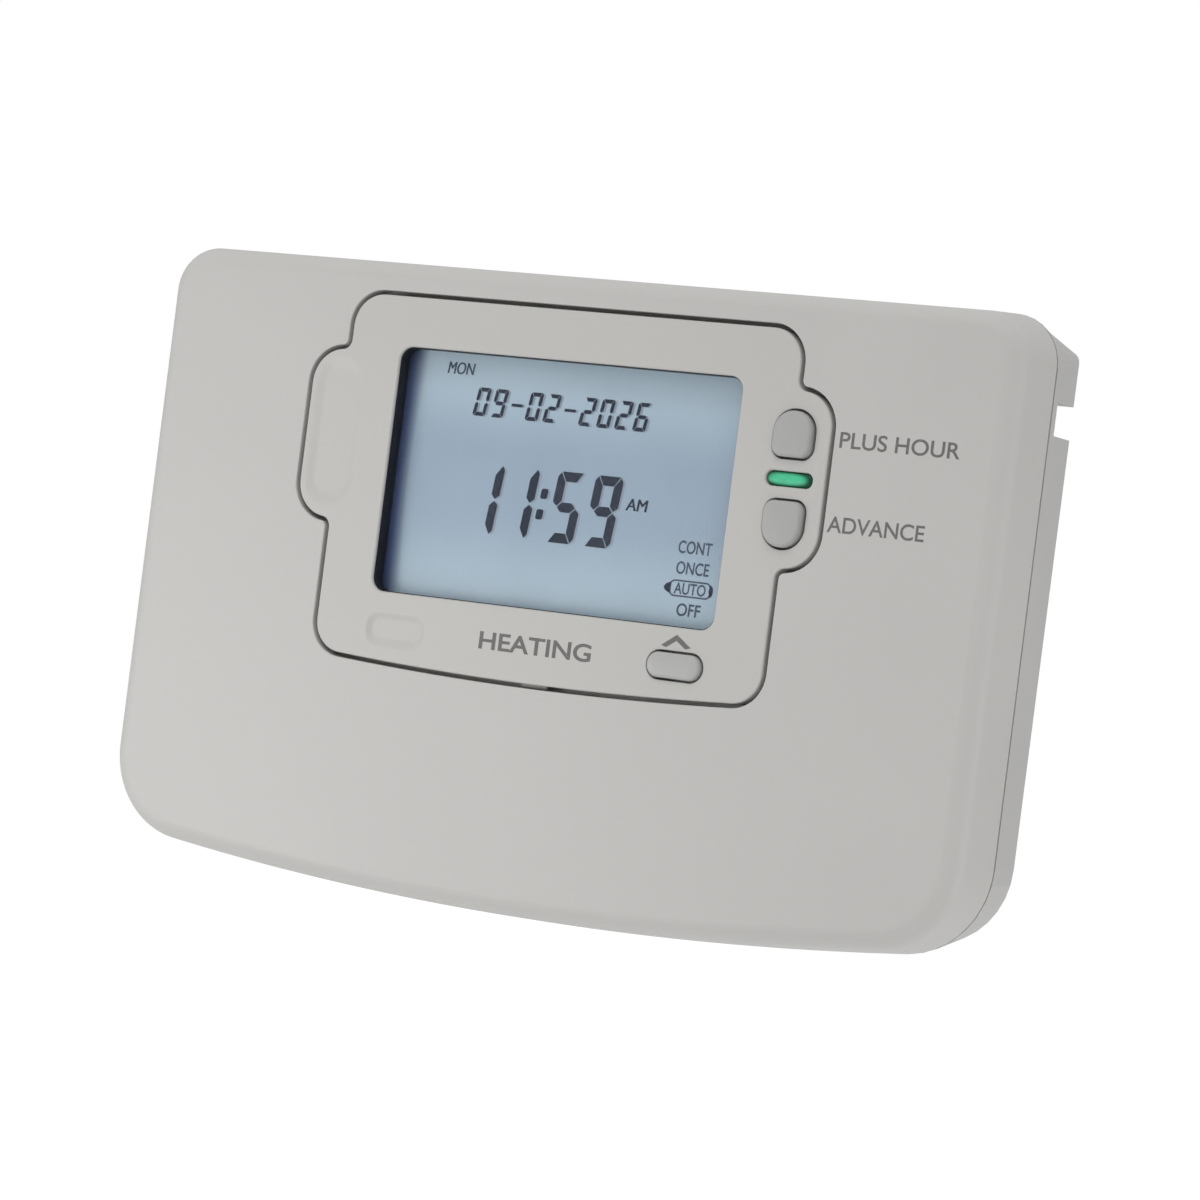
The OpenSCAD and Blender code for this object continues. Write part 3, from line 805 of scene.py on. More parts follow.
class Wear:
    """The finishes of the timer."""

    CASE = Plastic("case_grey", (0.545, 0.538, 0.522))
    ISLAND = Plastic("island_grey", (0.54, 0.533, 0.515), relief=0.000010)
    HOUSING = Plastic("housing_grey", (0.52, 0.515, 0.505), roughness=0.52)
    PLATE = Plastic("plate_white", (0.66, 0.66, 0.63), roughness=0.5)
    BUTTON = Plastic("button_grey", (0.42, 0.42, 0.415), roughness=0.42, wear=0.5)
    SELECT = Plastic("select_grey", (0.455, 0.455, 0.445), roughness=0.42, wear=0.5)
    KEY = Plastic("key_slate", (0.20, 0.22, 0.25), roughness=0.6, wear=0.3)
    RESET = Plastic("reset_red", (0.28, 0.03, 0.03), roughness=0.5)
    SLIDER = Plastic("slider_dark", (0.06, 0.065, 0.075), roughness=0.45, wear=0.6)
    BLOCK = Plastic("block_cream", (0.72, 0.69, 0.6), roughness=0.4)
    DARK = Plastic("part_black", (0.012, 0.012, 0.014), roughness=0.4, relief=0.00002)
    FILM = Plastic("film_yellow", (0.55, 0.33, 0.03), roughness=0.35)
    LACQUER = Plastic("lacquer_blue", (0.03, 0.09, 0.3), roughness=0.28, relief=0.00003)
    GASKET = Plastic("gasket_black", (0.006, 0.007, 0.012), roughness=0.55, wear=0.1, dust=0.0)
    RUBBER = Plastic("zebra_rubber", (0.03, 0.02, 0.022), roughness=0.7, grain=1500.0)
    DIFFUSER = Plastic("diffuser_milk", (0.75, 0.79, 0.8), roughness=0.3, wear=0.1, dust=0.0)
    CERAMIC = Plastic("fuse_ceramic_white", (0.8, 0.79, 0.75), roughness=0.25)
    TAB = Plastic("catch_grey", (0.48, 0.475, 0.46), roughness=0.5, dust=0.0)
    BRASS = Metal("brass_clamp", (0.62, 0.42, 0.14), roughness=0.32)
    STEEL = Metal("plated_steel_bright", (0.62, 0.62, 0.6), roughness=0.3)
    BOARD = Board("board_green", (0.02, 0.13, 0.05))
    PRINT = Ink("legend_ink", (0.155, 0.152, 0.148))
    BARS = Ink("bar_navy", (0.008, 0.017, 0.04), ground=(0.014, 0.024, 0.05), roughness=0.5, specular=0.1)
    BARS_THIN = Ink(
        "bar_slate", (0.055, 0.08, 0.125), ground=(0.09, 0.12, 0.17), roughness=0.5, specular=0.12
    )
    BAR_SHADOW = Ink(
        "bar_shadow", (0.26, 0.325, 0.395), ground=(0.3, 0.36, 0.42), roughness=0.5, specular=0.2
    )
    PAPER = Matt("label_paper", (0.8, 0.8, 0.78))
    FLOOR = Matt("floor_white", (0.9, 0.9, 0.9), grain=120.0)
    CLEAR = ClearGlass("window_clear", (0.92, 0.95, 1.0))


# ---------- Mesh building ----------


def report(piece: bpy.types.Object, body: Body) -> None:
    """Logs a finished piece."""
    LOG.info("%s: %d faces, on %s", piece.name, len(piece.data.polygons), body.value)


def settle(
    piece: bpy.types.Object, body: Body, slot: Slot, replaces: Iterable[str] = ()
) -> bpy.types.Object:
    """Hangs a new piece on its body, hides the CAD nodes that it stands for and logs it.

    Args:
        piece: The piece, in place.
        body: Body that it rides on.
        slot: Not used.
        replaces: CAD nodes that it stands for.

    Returns:
        The piece.
    """
    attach(piece, body.value)
    if replaces:
        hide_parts(*replaces)
    report(piece, body)
    return piece


class Moulding:
    """A mesh put together ring by ring, in millimetres, then made into one piece."""

    def __init__(self, name: str) -> None:
        """Starts an empty mesh.

        Args:
            name: Name of the piece.
        """
        self.name = name
        self.mesh = bmesh.new()

    def points(self, places: Iterable[Sequence[float]]) -> Ring:
        """Adds vertices at X, Y, Z places."""
        return [self.mesh.verts.new((x * MM, y * MM, z * MM)) for x, y, z in places]

    def ring(self, outline: Outline, y: float) -> Ring:
        """Adds an outline as vertices at one depth."""
        return self.points((x, y, z) for x, z in outline)

    def strip(self, first: Ring, second: Ring, closed: bool = True) -> None:
        """Joins two rings with quads.

        Args:
            first: One ring.
            second: The other ring, with as many vertices.
            closed: Whether the last pair joins the first.
        """
        count = len(first)
        for i in range(count if closed else count - 1):
            j = (i + 1) % count
            self.mesh.faces.new((first[i], first[j], second[j], second[i]))

    def loft(self, levels: Iterable[tuple[Outline, float]], after: Ring | None = None) -> tuple[Ring, Ring]:
        """Joins outlines at their depths into one skin.

        Args:
            levels: Each outline and its depth.
            after: Ring that the skin goes on from.

        Returns:
            The first and the last ring.
        """
        first, last = after, after
        for outline, y in levels:
            ring = self.ring(outline, y)
            if last is None:
                first = ring
            else:
                self.strip(last, ring)
            last = ring
        return first, last

    def fill(self, outer: Ring, holes: Sequence[Ring] = ()) -> None:
        """Closes a flat ring, leaving holes open.

        Args:
            outer: The ring round the face.
            holes: Rings of the holes in it.
        """
        loops = [outer, *holes]
        flat = [vert for loop in loops for vert in loop]
        for triple in tessellate_polygon([[vert.co / MM for vert in loop] for loop in loops]):
            corners = [flat[i] for i in triple]
            if len(set(corners)) == 3:
                self.mesh.faces.new(corners)

    def slab(self, outline: Outline, y0: float, y1: float) -> None:
        """Plain prism of an outline between two depths."""
        first, last = self.loft([(outline, y0), (outline, y1)])
        self.fill(first)
        self.fill(last)

    def soft_slab(
        self,
        shape: Callable[[float], Outline],
        y0: float,
        y1: float,
        edge: float,
        holes: Sequence[Callable[[float], Outline]] = (),
    ) -> None:
        """Prism with rounded front edges, also round its holes.

        Args:
            shape: Gives the outline for an inset.
            y0: Front depth.
            y1: Back depth.
            edge: Radius of the front edges.
            holes: Each gives a hole's outline for the distance that it is let out.
        """
        profile = edge_profile(edge, 5)
        first, last = self.loft([(shape(i), y0 + d) for i, d in profile] + [(shape(0.0), y1)])
        tops, feet = [], []
        for hole in holes:
            top, foot = self.loft([(hole(i), y0 + d) for i, d in profile] + [(hole(0.0), y1)])
            tops.append(top)
            feet.append(foot)
        self.fill(first, tops)
        self.fill(last, feet)

    def tube_x(self, centre: Point, outer: float, inner: float, x0: float, x1: float) -> None:
        """Tube along X.

        Args:
            centre: Y and Z of its axis.
            outer: Outer radius.
            inner: Radius of the bore.
            x0: One end.
            x1: The other end.
        """
        soft = 0.25
        profile = [
            (inner, x0),
            (outer - soft, x0),
            (outer, x0 + soft),
            (outer, x1 - soft),
            (outer - soft, x1),
            (inner, x1),
        ]
        rings = [
            self.points((x, centre[0] + a, centre[1] + b) for a, b in arc((0, 0), r, 0, 350, 35))
            for r, x in profile
        ]
        for one, two in zip(rings, rings[1:] + rings[:1]):
            self.strip(one, two)

    def rod_y(self, centre: Point, radius: float, y0: float, y1: float, edge: float = 0.15) -> None:
        """Rod along Y with softened ends.

        Args:
            centre: X and Z of its axis.
            radius: Its radius.
            y0: One end.
            y1: The other end.
            edge: Softening of its ends.
        """
        levels = [(radius - edge, y0), (radius, y0 + edge), (radius, y1 - edge), (radius - edge, y1)]
        first, last = self.loft([(arc(centre, r, 0, 348.75, 31), y) for r, y in levels])
        self.fill(first)
        self.fill(last)

    def box(self, low: Sequence[float], high: Sequence[float], edge: float = 0.2) -> None:
        """Box with softened edges all round.

        Args:
            low: Lowest corner.
            high: Highest corner.
            edge: Softening of its edges.
        """
        centre = ((low[0] + high[0]) / 2, (low[2] + high[2]) / 2)
        size = (high[0] - low[0], high[2] - low[2])
        small = (size[0] - 2 * edge, size[1] - 2 * edge)
        levels = [(small, low[1]), (size, low[1] + edge), (size, high[1] - edge), (small, high[1])]
        first, last = self.loft([(rounded(centre, s, edge * 1.5, steps=4), y) for s, y in levels])
        self.fill(first)
        self.fill(last)

    def finish(
        self, finish: Finish, body: Body, slot: Slot, replaces: Iterable[str] = ()
    ) -> bpy.types.Object:
        """Turns the mesh into a dressed piece on its body.

        Args:
            finish: Finish that it wears.
            body: Body that it rides on.
            slot: Record slot of its material.
            replaces: CAD nodes that it stands for.

        Returns:
            The piece.
        """
        bmesh.ops.recalc_face_normals(self.mesh, faces=self.mesh.faces)
        for face in self.mesh.faces:
            face.smooth = True
        for edge in self.mesh.edges:
            edge.smooth = edge.is_manifold and edge.calc_face_angle(0.0) < math.radians(42)
        data = bpy.data.meshes.new(self.name)
        self.mesh.to_mesh(data)
        self.mesh.free()
        piece = bpy.data.objects.new(self.name, data)
        bpy.context.scene.collection.objects.link(piece)
        data.materials.append(finish.material())
        even = piece.modifiers.new("even_shading", "WEIGHTED_NORMAL")
        even.keep_sharp = True
        return settle(piece, body, slot, replaces)


def lettering(
    name: str,
    text: str,
    corner: Point,
    size: Point,
    y: float,
    finish: Finish,
    body: Body,
    slot: Slot,
    lean: float = 0.0,
    weight: float = 0.012,
) -> bpy.types.Object:
    """Thin printed text that faces the room.

    Args:
        name: Name of the piece.
        text: What it says.
        corner: X and Z of its lower left corner.
        size: Its width and height.
        y: Depth of the surface that it is printed on.
        finish: Ink of the print.
        body: Body that it rides on.
        slot: Record slot of its material.
        lean: Shift to the right at the top, as a part of the height.
        weight: How much bolder its strokes are, as a part of the font's size. Words with an M are
            printed three times side by side instead, because the letter fills in.

    Returns:
        The piece.
    """
    curve = bpy.data.curves.new(name, "FONT")
    curve.body = text
    curve.offset = 0.0 if "M" in text else weight
    curve.extrude = 0.004
    stand_in = bpy.data.objects.new(name, curve)
    bpy.context.scene.collection.objects.link(stand_in)
    bpy.context.view_layer.update()
    data = bpy.data.meshes.new_from_object(stand_in.evaluated_get(bpy.context.evaluated_depsgraph_get()))
    bpy.data.objects.remove(stand_in)
    xs = [v.co.x for v in data.vertices]
    zs = [v.co.y for v in data.vertices]
    sx, sz = size[0] / (max(xs) - min(xs)), size[1] / (max(zs) - min(zs))
    spots, faces = [], []
    for step in (-1, 0, 1) if "M" in text else (0,):
        first = len(spots)
        for vert in data.vertices:
            x, z, lift = vert.co
            up = (z - min(zs)) * sz
            across = corner[0] + (x - min(xs)) * sx + lean * up + step * 4 * weight
            spots.append(Vector((across, y - 0.006 - lift - 0.001 * step, corner[1] + up)) * MM)
        faces += [[first + k for k in face.vertices] for face in data.polygons]
    print_mesh = bpy.data.meshes.new(name)
    print_mesh.from_pydata(spots, [], faces)
    piece = bpy.data.objects.new(name, print_mesh)
    bpy.context.scene.collection.objects.link(piece)
    print_mesh.materials.append(finish.material())
    return settle(piece, body, slot)


# ---------- Front of the case ----------


@dataclass(frozen=True)
class FrontFlap:
    """Drop-down front cover: a thin shell with a soft rim and a hole for the island."""

    case: CaseForm
    island: IslandForm
    face_y: float
    back_y: float
    hinge: Point
    skin: float = 2.0
    wall: float = 2.0
    edge_r: float = 2.8
    draft: float = 0.45
    gap: float = 0.62
    lip_r: float = 0.18
    lug_x: float = 22.0
    lug_t: float = 3.0

    def build(self) -> None:
        """Builds the shell, its printing and the label inside."""
        self._shell()
        self._legends()
        self._schedule_label()

    def _shell(self) -> None:
        """Outer skin, inner skin, the hole's soft lip and the two hinge lugs."""
        skin_y = self.face_y + self.skin
        flap = Moulding("flap_shell")
        edge = [
            (self.case.outline(self.draft + i), self.face_y + d) for i, d in edge_profile(self.edge_r, 16)
        ]
        rim = [(self.case.outline(0.02), self.back_y - 0.1), (self.case.outline(0.14), self.back_y + 0.08)]
        inset = self.wall + self.draft
        inner = [
            (self.case.outline(inset - 0.15), self.back_y + 0.08),
            (self.case.outline(inset), self.back_y - 0.2),
            (self.case.outline(inset), skin_y + 0.6),
            (self.case.outline(inset + 0.2), skin_y + 0.2),
            (self.case.outline(inset + 0.6), skin_y),
        ]
        front, back = flap.loft(edge + rim + inner)
        lip = [(self.island.outline(self.gap + i), self.face_y + d) for i, d in edge_profile(self.lip_r, 6)]
        hole_front, hole_back = flap.loft(lip + [(self.island.outline(self.gap), skin_y)])
        flap.fill(front, [hole_front])
        flap.fill(back, [hole_back])
        y, z = self.hinge
        for side in (-1, 1):
            x0, x1 = sorted((side * self.lug_x, side * (self.lug_x + self.lug_t)))
            flap.tube_x(self.hinge, 2.0, 1.05, x0, x1)
            flap.box((x0, skin_y - 0.3, z - 1.6), (x1, y - 1.05, z + 2.0))
        flap.finish(Wear.CASE, Body.FLAP, Slot.CASE, ["front_flap"])

    def _legends(self) -> None:
        """Words beside the two side buttons."""
        lettering(
            "legend_add_hour",
            "PLUS HOUR",
            (44.0, 24.35),
            (18.2, 2.2),
            self.face_y,
            Wear.PRINT,
            Body.FLAP,
            Slot.CASE,
        )
        lettering(
            "legend_advance",
            "ADVANCE",
            (43.7, 13.0),
            (14.7, 2.2),
            self.face_y,
            Wear.PRINT,
            Body.FLAP,
            Slot.CASE,
        )

    def _schedule_label(self) -> None:
        """Paper label inside the flap, ruled as an empty weekly table."""
        y = self.face_y + self.skin
        low, high = (-60.0, -31.5), (60.0, -16.5)
        centre, size = (0.0, (low[1] + high[1]) / 2), (high[0] - low[0], high[1] - low[1])
        label = Moulding("schedule_label")
        label.slab(rounded(centre, size, 1.5), y - 0.02, y + 0.1)
        label.finish(Wear.PAPER, Body.FLAP, Slot.CASE)
        lines = Moulding("schedule_lines")
        for row in range(5):
            z = low[1] + 1.0 + row * (size[1] - 2.0) / 4
            lines.slab(rounded((0.0, z), (size[0] - 3.0, 0.14), 0.05, steps=2), y + 0.08, y + 0.13)
        for column in range(9):
            x = low[0] + 1.5 + column * (size[0] - 3.0) / 8
            lines.slab(rounded((x, centre[1]), (0.14, size[1] - 1.9), 0.05, steps=2), y + 0.08, y + 0.13)
        lines.finish(Wear.PRINT, Body.FLAP, Slot.CASE)


@dataclass(frozen=True)
class DisplayIsland:
    """Raised panel round the display, with its window, button holes, scoop and thumb recess."""

    island: IslandForm
    face_y: float
    back_y: float
    window_centre: Point
    window_size: Point
    buttons: tuple["PushButton", ...]
    lamp_centre: Point
    window_r: float = 2.0
    lamp_size: Point = (7.2, 2.1)
    lamp_r: float = 1.0
    skin: float = 2.0
    skirt: float = 1.6
    rim_r: float = 0.25
    scoop_centre: Point = (-37.6, 19.8)
    scoop_size: Point = (8.8, 21.4)
    scoop_depth: float = 0.35
    recess_centre: Point = (-23.1, -7.35)
    recess_size: Point = (10.4, 5.1)
    recess_depth: float = 0.4

    def build(self) -> None:
        """Builds the panel, the clip tongue and the printing."""
        self._panel()
        self._clip_tongue()
        self._marks()

    def _window(self, grow: float) -> Outline:
        """Outline of the display window, let out by grow."""
        size = (self.window_size[0] + 2 * grow, self.window_size[1] + 2 * grow)
        return rounded(self.window_centre, size, self.window_r + grow)

    def _lamp_hole(self, grow: float) -> Outline:
        """Outline of the status light's hole, let out by grow."""
        size = (self.lamp_size[0] + 2 * grow, self.lamp_size[1] + 2 * grow)
        return rounded(self.lamp_centre, size, self.lamp_r + grow)

    def _hollow(self, panel: Moulding, centre: Point, size: Point, depth: float, slope: float) -> Ring:
        """Adds a shallow soft hollow in the face.

        Args:
            panel: Moulding to add it to.
            centre: Middle of the hollow.
            size: Its width and height.
            depth: Its depth.
            slope: Width of its sloping side.

        Returns:
            Its ring in the face.
        """
        corner = min(size) / 2 - 0.3
        levels = []
        for step in range(9):
            t = step / 8
            shape = rounded(centre, (size[0] - 2 * slope * t, size[1] - 2 * slope * t), corner - slope * t)
            levels.append((shape, self.face_y + depth * t * t * (3 - 2 * t)))
        first, last = panel.loft(levels)
        panel.fill(last)
        return first

    def _panel(self) -> None:
        """The panel itself, down to the keypad deck."""
        skin_y = self.face_y + self.skin
        panel = Moulding("island_panel")
        edge = [(self.island.outline(-i), self.face_y + d) for i, d in edge_profile(self.rim_r, 6)]
        wall = [
            (self.island.outline(g), y)
            for g, y in ((0.0, self.back_y), (-self.skirt, self.back_y), (-self.skirt, skin_y))
        ]
        front, back = panel.loft(edge + wall)
        fronts, backs = [], []
        openings: list[tuple[Callable[[float], Outline], float]] = [
            (self._window, 0.3),
            (self._lamp_hole, 0.3),
        ]
        openings += [(lambda g, b=button: b.shape(b.clearance + g), 0.1) for button in self.buttons]
        for shape, radius in openings:
            levels = [(shape(i), self.face_y + d) for i, d in edge_profile(radius, 5)]
            top, foot = panel.loft(levels + [(shape(0.0), skin_y)])
            fronts.append(top)
            backs.append(foot)
        fronts.append(self._hollow(panel, self.scoop_centre, self.scoop_size, self.scoop_depth, 1.9))
        fronts.append(self._hollow(panel, self.recess_centre, self.recess_size, self.recess_depth, 1.3))
        panel.fill(front, fronts)
        panel.fill(back, backs)
        panel.finish(Wear.ISLAND, Body.UNIT, Slot.CASE, ["inner_fascia"])

    def _clip_tongue(self) -> None:
        """Small tongue below the panel that the flap's edge snaps past."""
        tongue = Moulding("clip_tongue")
        tongue.box(
            (-2.1, self.face_y + 1.5, self.island.bottom - 0.45),
            (2.1, self.face_y + 2.3, self.island.bottom + 0.6),
            0.12,
        )
        tongue.finish(Wear.TAB, Body.UNIT, Slot.CASE)

    def _marks(self) -> None:
        """Plain word below the window and the arrow over the select button."""
        lettering(
            "panel_word",
            "HEATING",
            (-8.9, -8.35),
            (18.4, 2.5),
            self.face_y,
            Wear.PRINT,
            Body.UNIT,
            Slot.CASE,
            weight=0.02,
        )
        arrow = Moulding("up_arrow")
        x, z = 22.75, -3.05
        arrow.slab(
            [
                (x, z),
                (x - 2.35, z - 1.62),
                (x - 1.5, z - 1.85),
                (x, z - 0.85),
                (x + 1.5, z - 1.85),
                (x + 2.35, z - 1.62),
            ],
            self.face_y - 0.012,
            self.face_y + 0.01,
        )
        arrow.finish(Wear.PRINT, Body.UNIT, Slot.CASE)


@dataclass(frozen=True)
class KeypadDeck:
    """Deck behind the flap: key holes, the trough for the flap's foot, skirt, lugs and pillars."""

    case: CaseForm
    island: IslandForm
    front_y: float
    hinge: Point
    keys: tuple["PushButton", ...]
    reset: Point
    slider: Point
    thickness: float = 1.5
    trough_r: float = 7.6
    trough_t: float = 0.8
    lug_x: float = 25.3

    @property
    def back_y(self) -> float:
        """Back of the deck."""
        return self.front_y + self.thickness

    def build(self) -> None:
        """Builds the deck's mouldings and its printing."""
        self._plate()
        self._skirt()
        self._trough()
        self._lugs()
        self._pillars()
        self._legends()

    def _plate(self) -> None:
        """The deck plate with its holes."""
        foot = self.hinge[1] + self.trough_r + self.trough_t / 2
        holes: list[Callable[[float], Outline]] = [lambda g: self.island.outline(-1.6 + g)]
        holes += [lambda g, k=key: k.shape(0.25 + g) for key in self.keys]
        holes.append(lambda g: arc(self.reset, 1.9 + g, 0, 348.75, 31))
        holes.append(lambda g: rounded(self.slider, (4.4 + 2 * g, 9 + 2 * g), 0.6 + g))
        deck = Moulding("keypad_deck")
        deck.soft_slab(
            lambda i: cut_below(self.case.outline(2.9 + i), foot), self.front_y, self.back_y, 0.2, holes
        )
        deck.finish(Wear.ISLAND, Body.UNIT, Slot.CASE, ["inner_fascia"])

    def _skirt(self) -> None:
        """Wall that locates the deck inside the rear housing."""
        foot = self.hinge[1] + self.trough_r + self.trough_t
        outer = [p for p in self.case.outline(4.2) if p[1] >= foot]
        inner = [p for p in self.case.outline(5.4) if p[1] >= foot]
        skirt = Moulding("deck_skirt")
        skirt.slab(outer + list(reversed(inner)), self.back_y - 0.01, -9.0)
        skirt.finish(Wear.ISLAND, Body.UNIT, Slot.CASE)

    def _trough(self) -> None:
        """Curved channel that the flap's foot turns in."""
        y, z = self.hinge
        outer = self.trough_r + self.trough_t
        start = math.degrees(math.acos((self.front_y - y) / outer))
        rows = []
        for radius in (self.trough_r, outer):
            grid = []
            for a, b in arc((y, z), radius, start, -7.0, 22):
                half = min(65.8, self.case.half_width(b, 3.9))
                grid.append([(half * (i / 12 - 1), a, b) for i in range(25)])
            rows.append(grid)
        trough = Moulding("hinge_trough")
        inner, shell = ([trough.points(row) for row in grid] for grid in rows)
        for grid in (inner, shell):
            for one, two in zip(grid, grid[1:]):
                trough.strip(one, two, closed=False)
        for end in (0, -1):
            trough.strip(inner[end], shell[end], closed=False)
            trough.strip([row[end] for row in inner], [row[end] for row in shell], closed=False)
        trough.finish(Wear.ISLAND, Body.UNIT, Slot.CASE)

    def _lugs(self) -> None:
        """Fixed halves of the two hinges."""
        y, z = self.hinge
        lugs = Moulding("hinge_lugs")
        for side in (-1, 1):
            x0, x1 = sorted((side * self.lug_x, side * (self.lug_x + 3.0)))
            lugs.tube_x(self.hinge, 2.0, 1.02, x0, x1)
            lugs.box((x0, y - 1.6, z + 1.2), (x1, y + 0.8, z + self.trough_r + 0.3))
        lugs.finish(Wear.ISLAND, Body.UNIT, Slot.CASE)

    def _pillars(self) -> None:
        """Pillars for the board and bosses for the case screws."""
        pillars = Moulding("deck_pillars")
        for side in (-1, 1):
            for z in (-26.0, 31.0):
                pillars.rod_y((side * 53.0, z), 2.6, self.back_y - 0.2, -12.0)
            for z in (-22.0, 16.0):
                pillars.rod_y((side * 61.5, z), 3.0, self.back_y - 0.2, -5.9)
        pillars.finish(Wear.ISLAND, Body.UNIT, Slot.CASE)

    def _legends(self) -> None:
        """Words for the keys, the reset pin and the slider's four places."""
        words = ("CLOCK", "PROG", "DAY", "-", "+", "COPY")
        for key, word in zip(self.keys, words):
            width = 1.5 * len(word) if len(word) > 1 else 1.5
            height = 0.35 if word == "-" else 1.5
            base = key.centre[1] + key.size[1] / 2 + (1.75 if word == "-" else 1.2)
            corner = (key.centre[0] - width / 2, base)
            lettering(
                f"legend_{key.body.value}",
                word,
                corner,
                (width, height),
                self.front_y,
                Wear.PRINT,
                Body.UNIT,
                Slot.CASE,
            )
        corner = (self.reset[0] - 3.0, self.reset[1] + 4.2)
        lettering(
            "legend_reset", "RESET", corner, (6.0, 1.5), self.front_y, Wear.PRINT, Body.UNIT, Slot.CASE
        )
        for step, word in enumerate(("OFF", "AUTO", "ONCE", "ON")):
            corner = (self.slider[0] + 3.2, self.slider[1] - 4.1 + step * 2.35)
            width = 0.95 * len(word)
            lettering(
                f"legend_mode_{word.lower()}",
                word,
                corner,
                (width, 1.15),
                self.front_y,
                Wear.PRINT,
                Body.UNIT,
                Slot.CASE,
            )


# ---------- Buttons and keys ----------


@dataclass(frozen=True)
class PushButton:
    """Button with a crowned soft-edged cap, a flange that holds it in and a stem."""

    node: str
    body: Body
    slot: Slot
    finish: Finish
    centre: Point
    size: Point
    top_r: float
    bottom_r: float
    cap_y: float
    flange_y: float
    flange: Point
    stem_y: float
    edge: float = 0.55
    crown: float = 0.1
    clearance: float = 0.32

    def shape(self, grow: float = 0.0) -> Outline:
        """Outline of the cap, let out by grow."""
        size = (self.size[0] + 2 * grow, self.size[1] + 2 * grow)
        return rounded(self.centre, size, self.top_r + grow, self.bottom_r + grow, 14)

    def build(self) -> None:
        """Builds the button."""
        button = Moulding(self.node)
        reach = min(self.size) / 2 - self.edge - 0.25
        top = self.cap_y + self.crown
        middle = [
            (self.shape(-self.edge - reach * k / 5), top - self.crown * (1 - (1 - k / 5) ** 2))
            for k in range(5, 0, -1)
        ]
        side = [(self.shape(-i), top + d) for i, d in edge_profile(self.edge, 8)]
        first, last = button.loft(middle + side + [(self.shape(), self.flange_y + 0.1)])
        button.fill(first)
        button.fill(last)
        wide = (self.size[0] + self.flange[0], self.size[1] + self.flange[0])
        plate = rounded(self.centre, wide, self.top_r + 0.2, self.bottom_r + 0.2, 8)
        button.slab(plate, self.flange_y, self.flange_y + self.flange[1])
        button.rod_y(self.centre, 1.2, self.flange_y + self.flange[1] - 0.1, self.stem_y)
        button.finish(self.finish, self.body, self.slot, [self.node])


ISLAND_FLANGE_Y: float = -17.9
DECK_FLANGE_Y: float = -14.9


def front_buttons() -> tuple[PushButton, ...]:
    """The three buttons on the island, placed by their CAD nodes."""
    made = []
    for node, body, top_r, bottom_r in (
        ("extra_time_button", Body.EXTRA_TIME, 2.9, 1.5), ("override_button", Body.OVERRIDE, 1.5, 2.9)
    ):
        low, high = low_high(node)
        size = (high.x - low.x - 0.8, high.z - low.z - 0.8)
        centre = ((low.x + high.x) / 2, (low.z + high.z) / 2)
        made.append(
            PushButton(
                node,
                body,
                Slot.BUTTON,
                Wear.BUTTON,
                centre,
                size,
                top_r,
                bottom_r,
                low.y,
                ISLAND_FLANGE_Y,
                (0.8, 0.7),
                high.y,
            )
        )
    low, high = low_high("select_button")
    centre = ((low.x + high.x) / 2, (low.z + high.z) / 2)
    size = (high.x - low.x - 0.8, high.z - low.z - 0.8)
    made.append(
        PushButton(
            "select_button",
            Body.SELECT,
            Slot.SELECT,
            Wear.SELECT,
            centre,
            size,
            1.73,
            1.73,
            low.y,
            ISLAND_FLANGE_Y,
            (0.8, 0.7),
            high.y,
            edge=0.45,
            crown=0.08,
        )
    )
    return tuple(made)


def deck_keys() -> tuple[PushButton, ...]:
    """The six keys of the deck, placed by their CAD nodes."""
    made = []
    for body in (Body.CLOCK, Body.PROGRAM, Body.DAY, Body.MINUS, Body.PLUS, Body.COPY):
        low, high = low_high(f"{body.value}_key")
        centre = ((low.x + high.x) / 2, (low.z + high.z) / 2)
        size = (high.x - low.x - 1.6, high.z - low.z - 1.6)
        made.append(
            PushButton(
                f"{body.value}_key",
                body,
                Slot.KEY,
                Wear.KEY,
                centre,
                size,
                1.2,
                1.2,
                low.y,
                DECK_FLANGE_Y,
                (1.6, 0.7),
                high.y,
                edge=0.45,
                crown=0.12,
            )
        )
    return tuple(made)


@dataclass(frozen=True)
class ResetPin:
    """Recessed round reset button, worked with a pen."""

    def build(self) -> None:
        """Builds the pin with its dished top."""
        low, high = low_high("reset_key")
        centre = ((low.x + high.x) / 2, (low.z + high.z) / 2)
        pin = Moulding("reset_pin")
        levels = [
            (0.2, 0.3),
            (0.6, 0.22),
            (0.95, 0.08),
            (1.2, 0.0),
            (1.45, 0.06),
            (1.6, 0.25),
            (1.6, 2.05),
            (2.6, 2.05),
            (2.6, 2.7),
            (1.2, 2.7),
        ]
        rings = [(arc(centre, r, 0, 348.75, 31), low.y + d) for r, d in levels]
        first, last = pin.loft(rings + [(arc(centre, 1.2, 0, 348.75, 31), high.y)])
        pin.fill(first)
        pin.fill(last)
        pin.finish(Wear.RESET, Body.RESET, Slot.RESET, ["reset_key"])


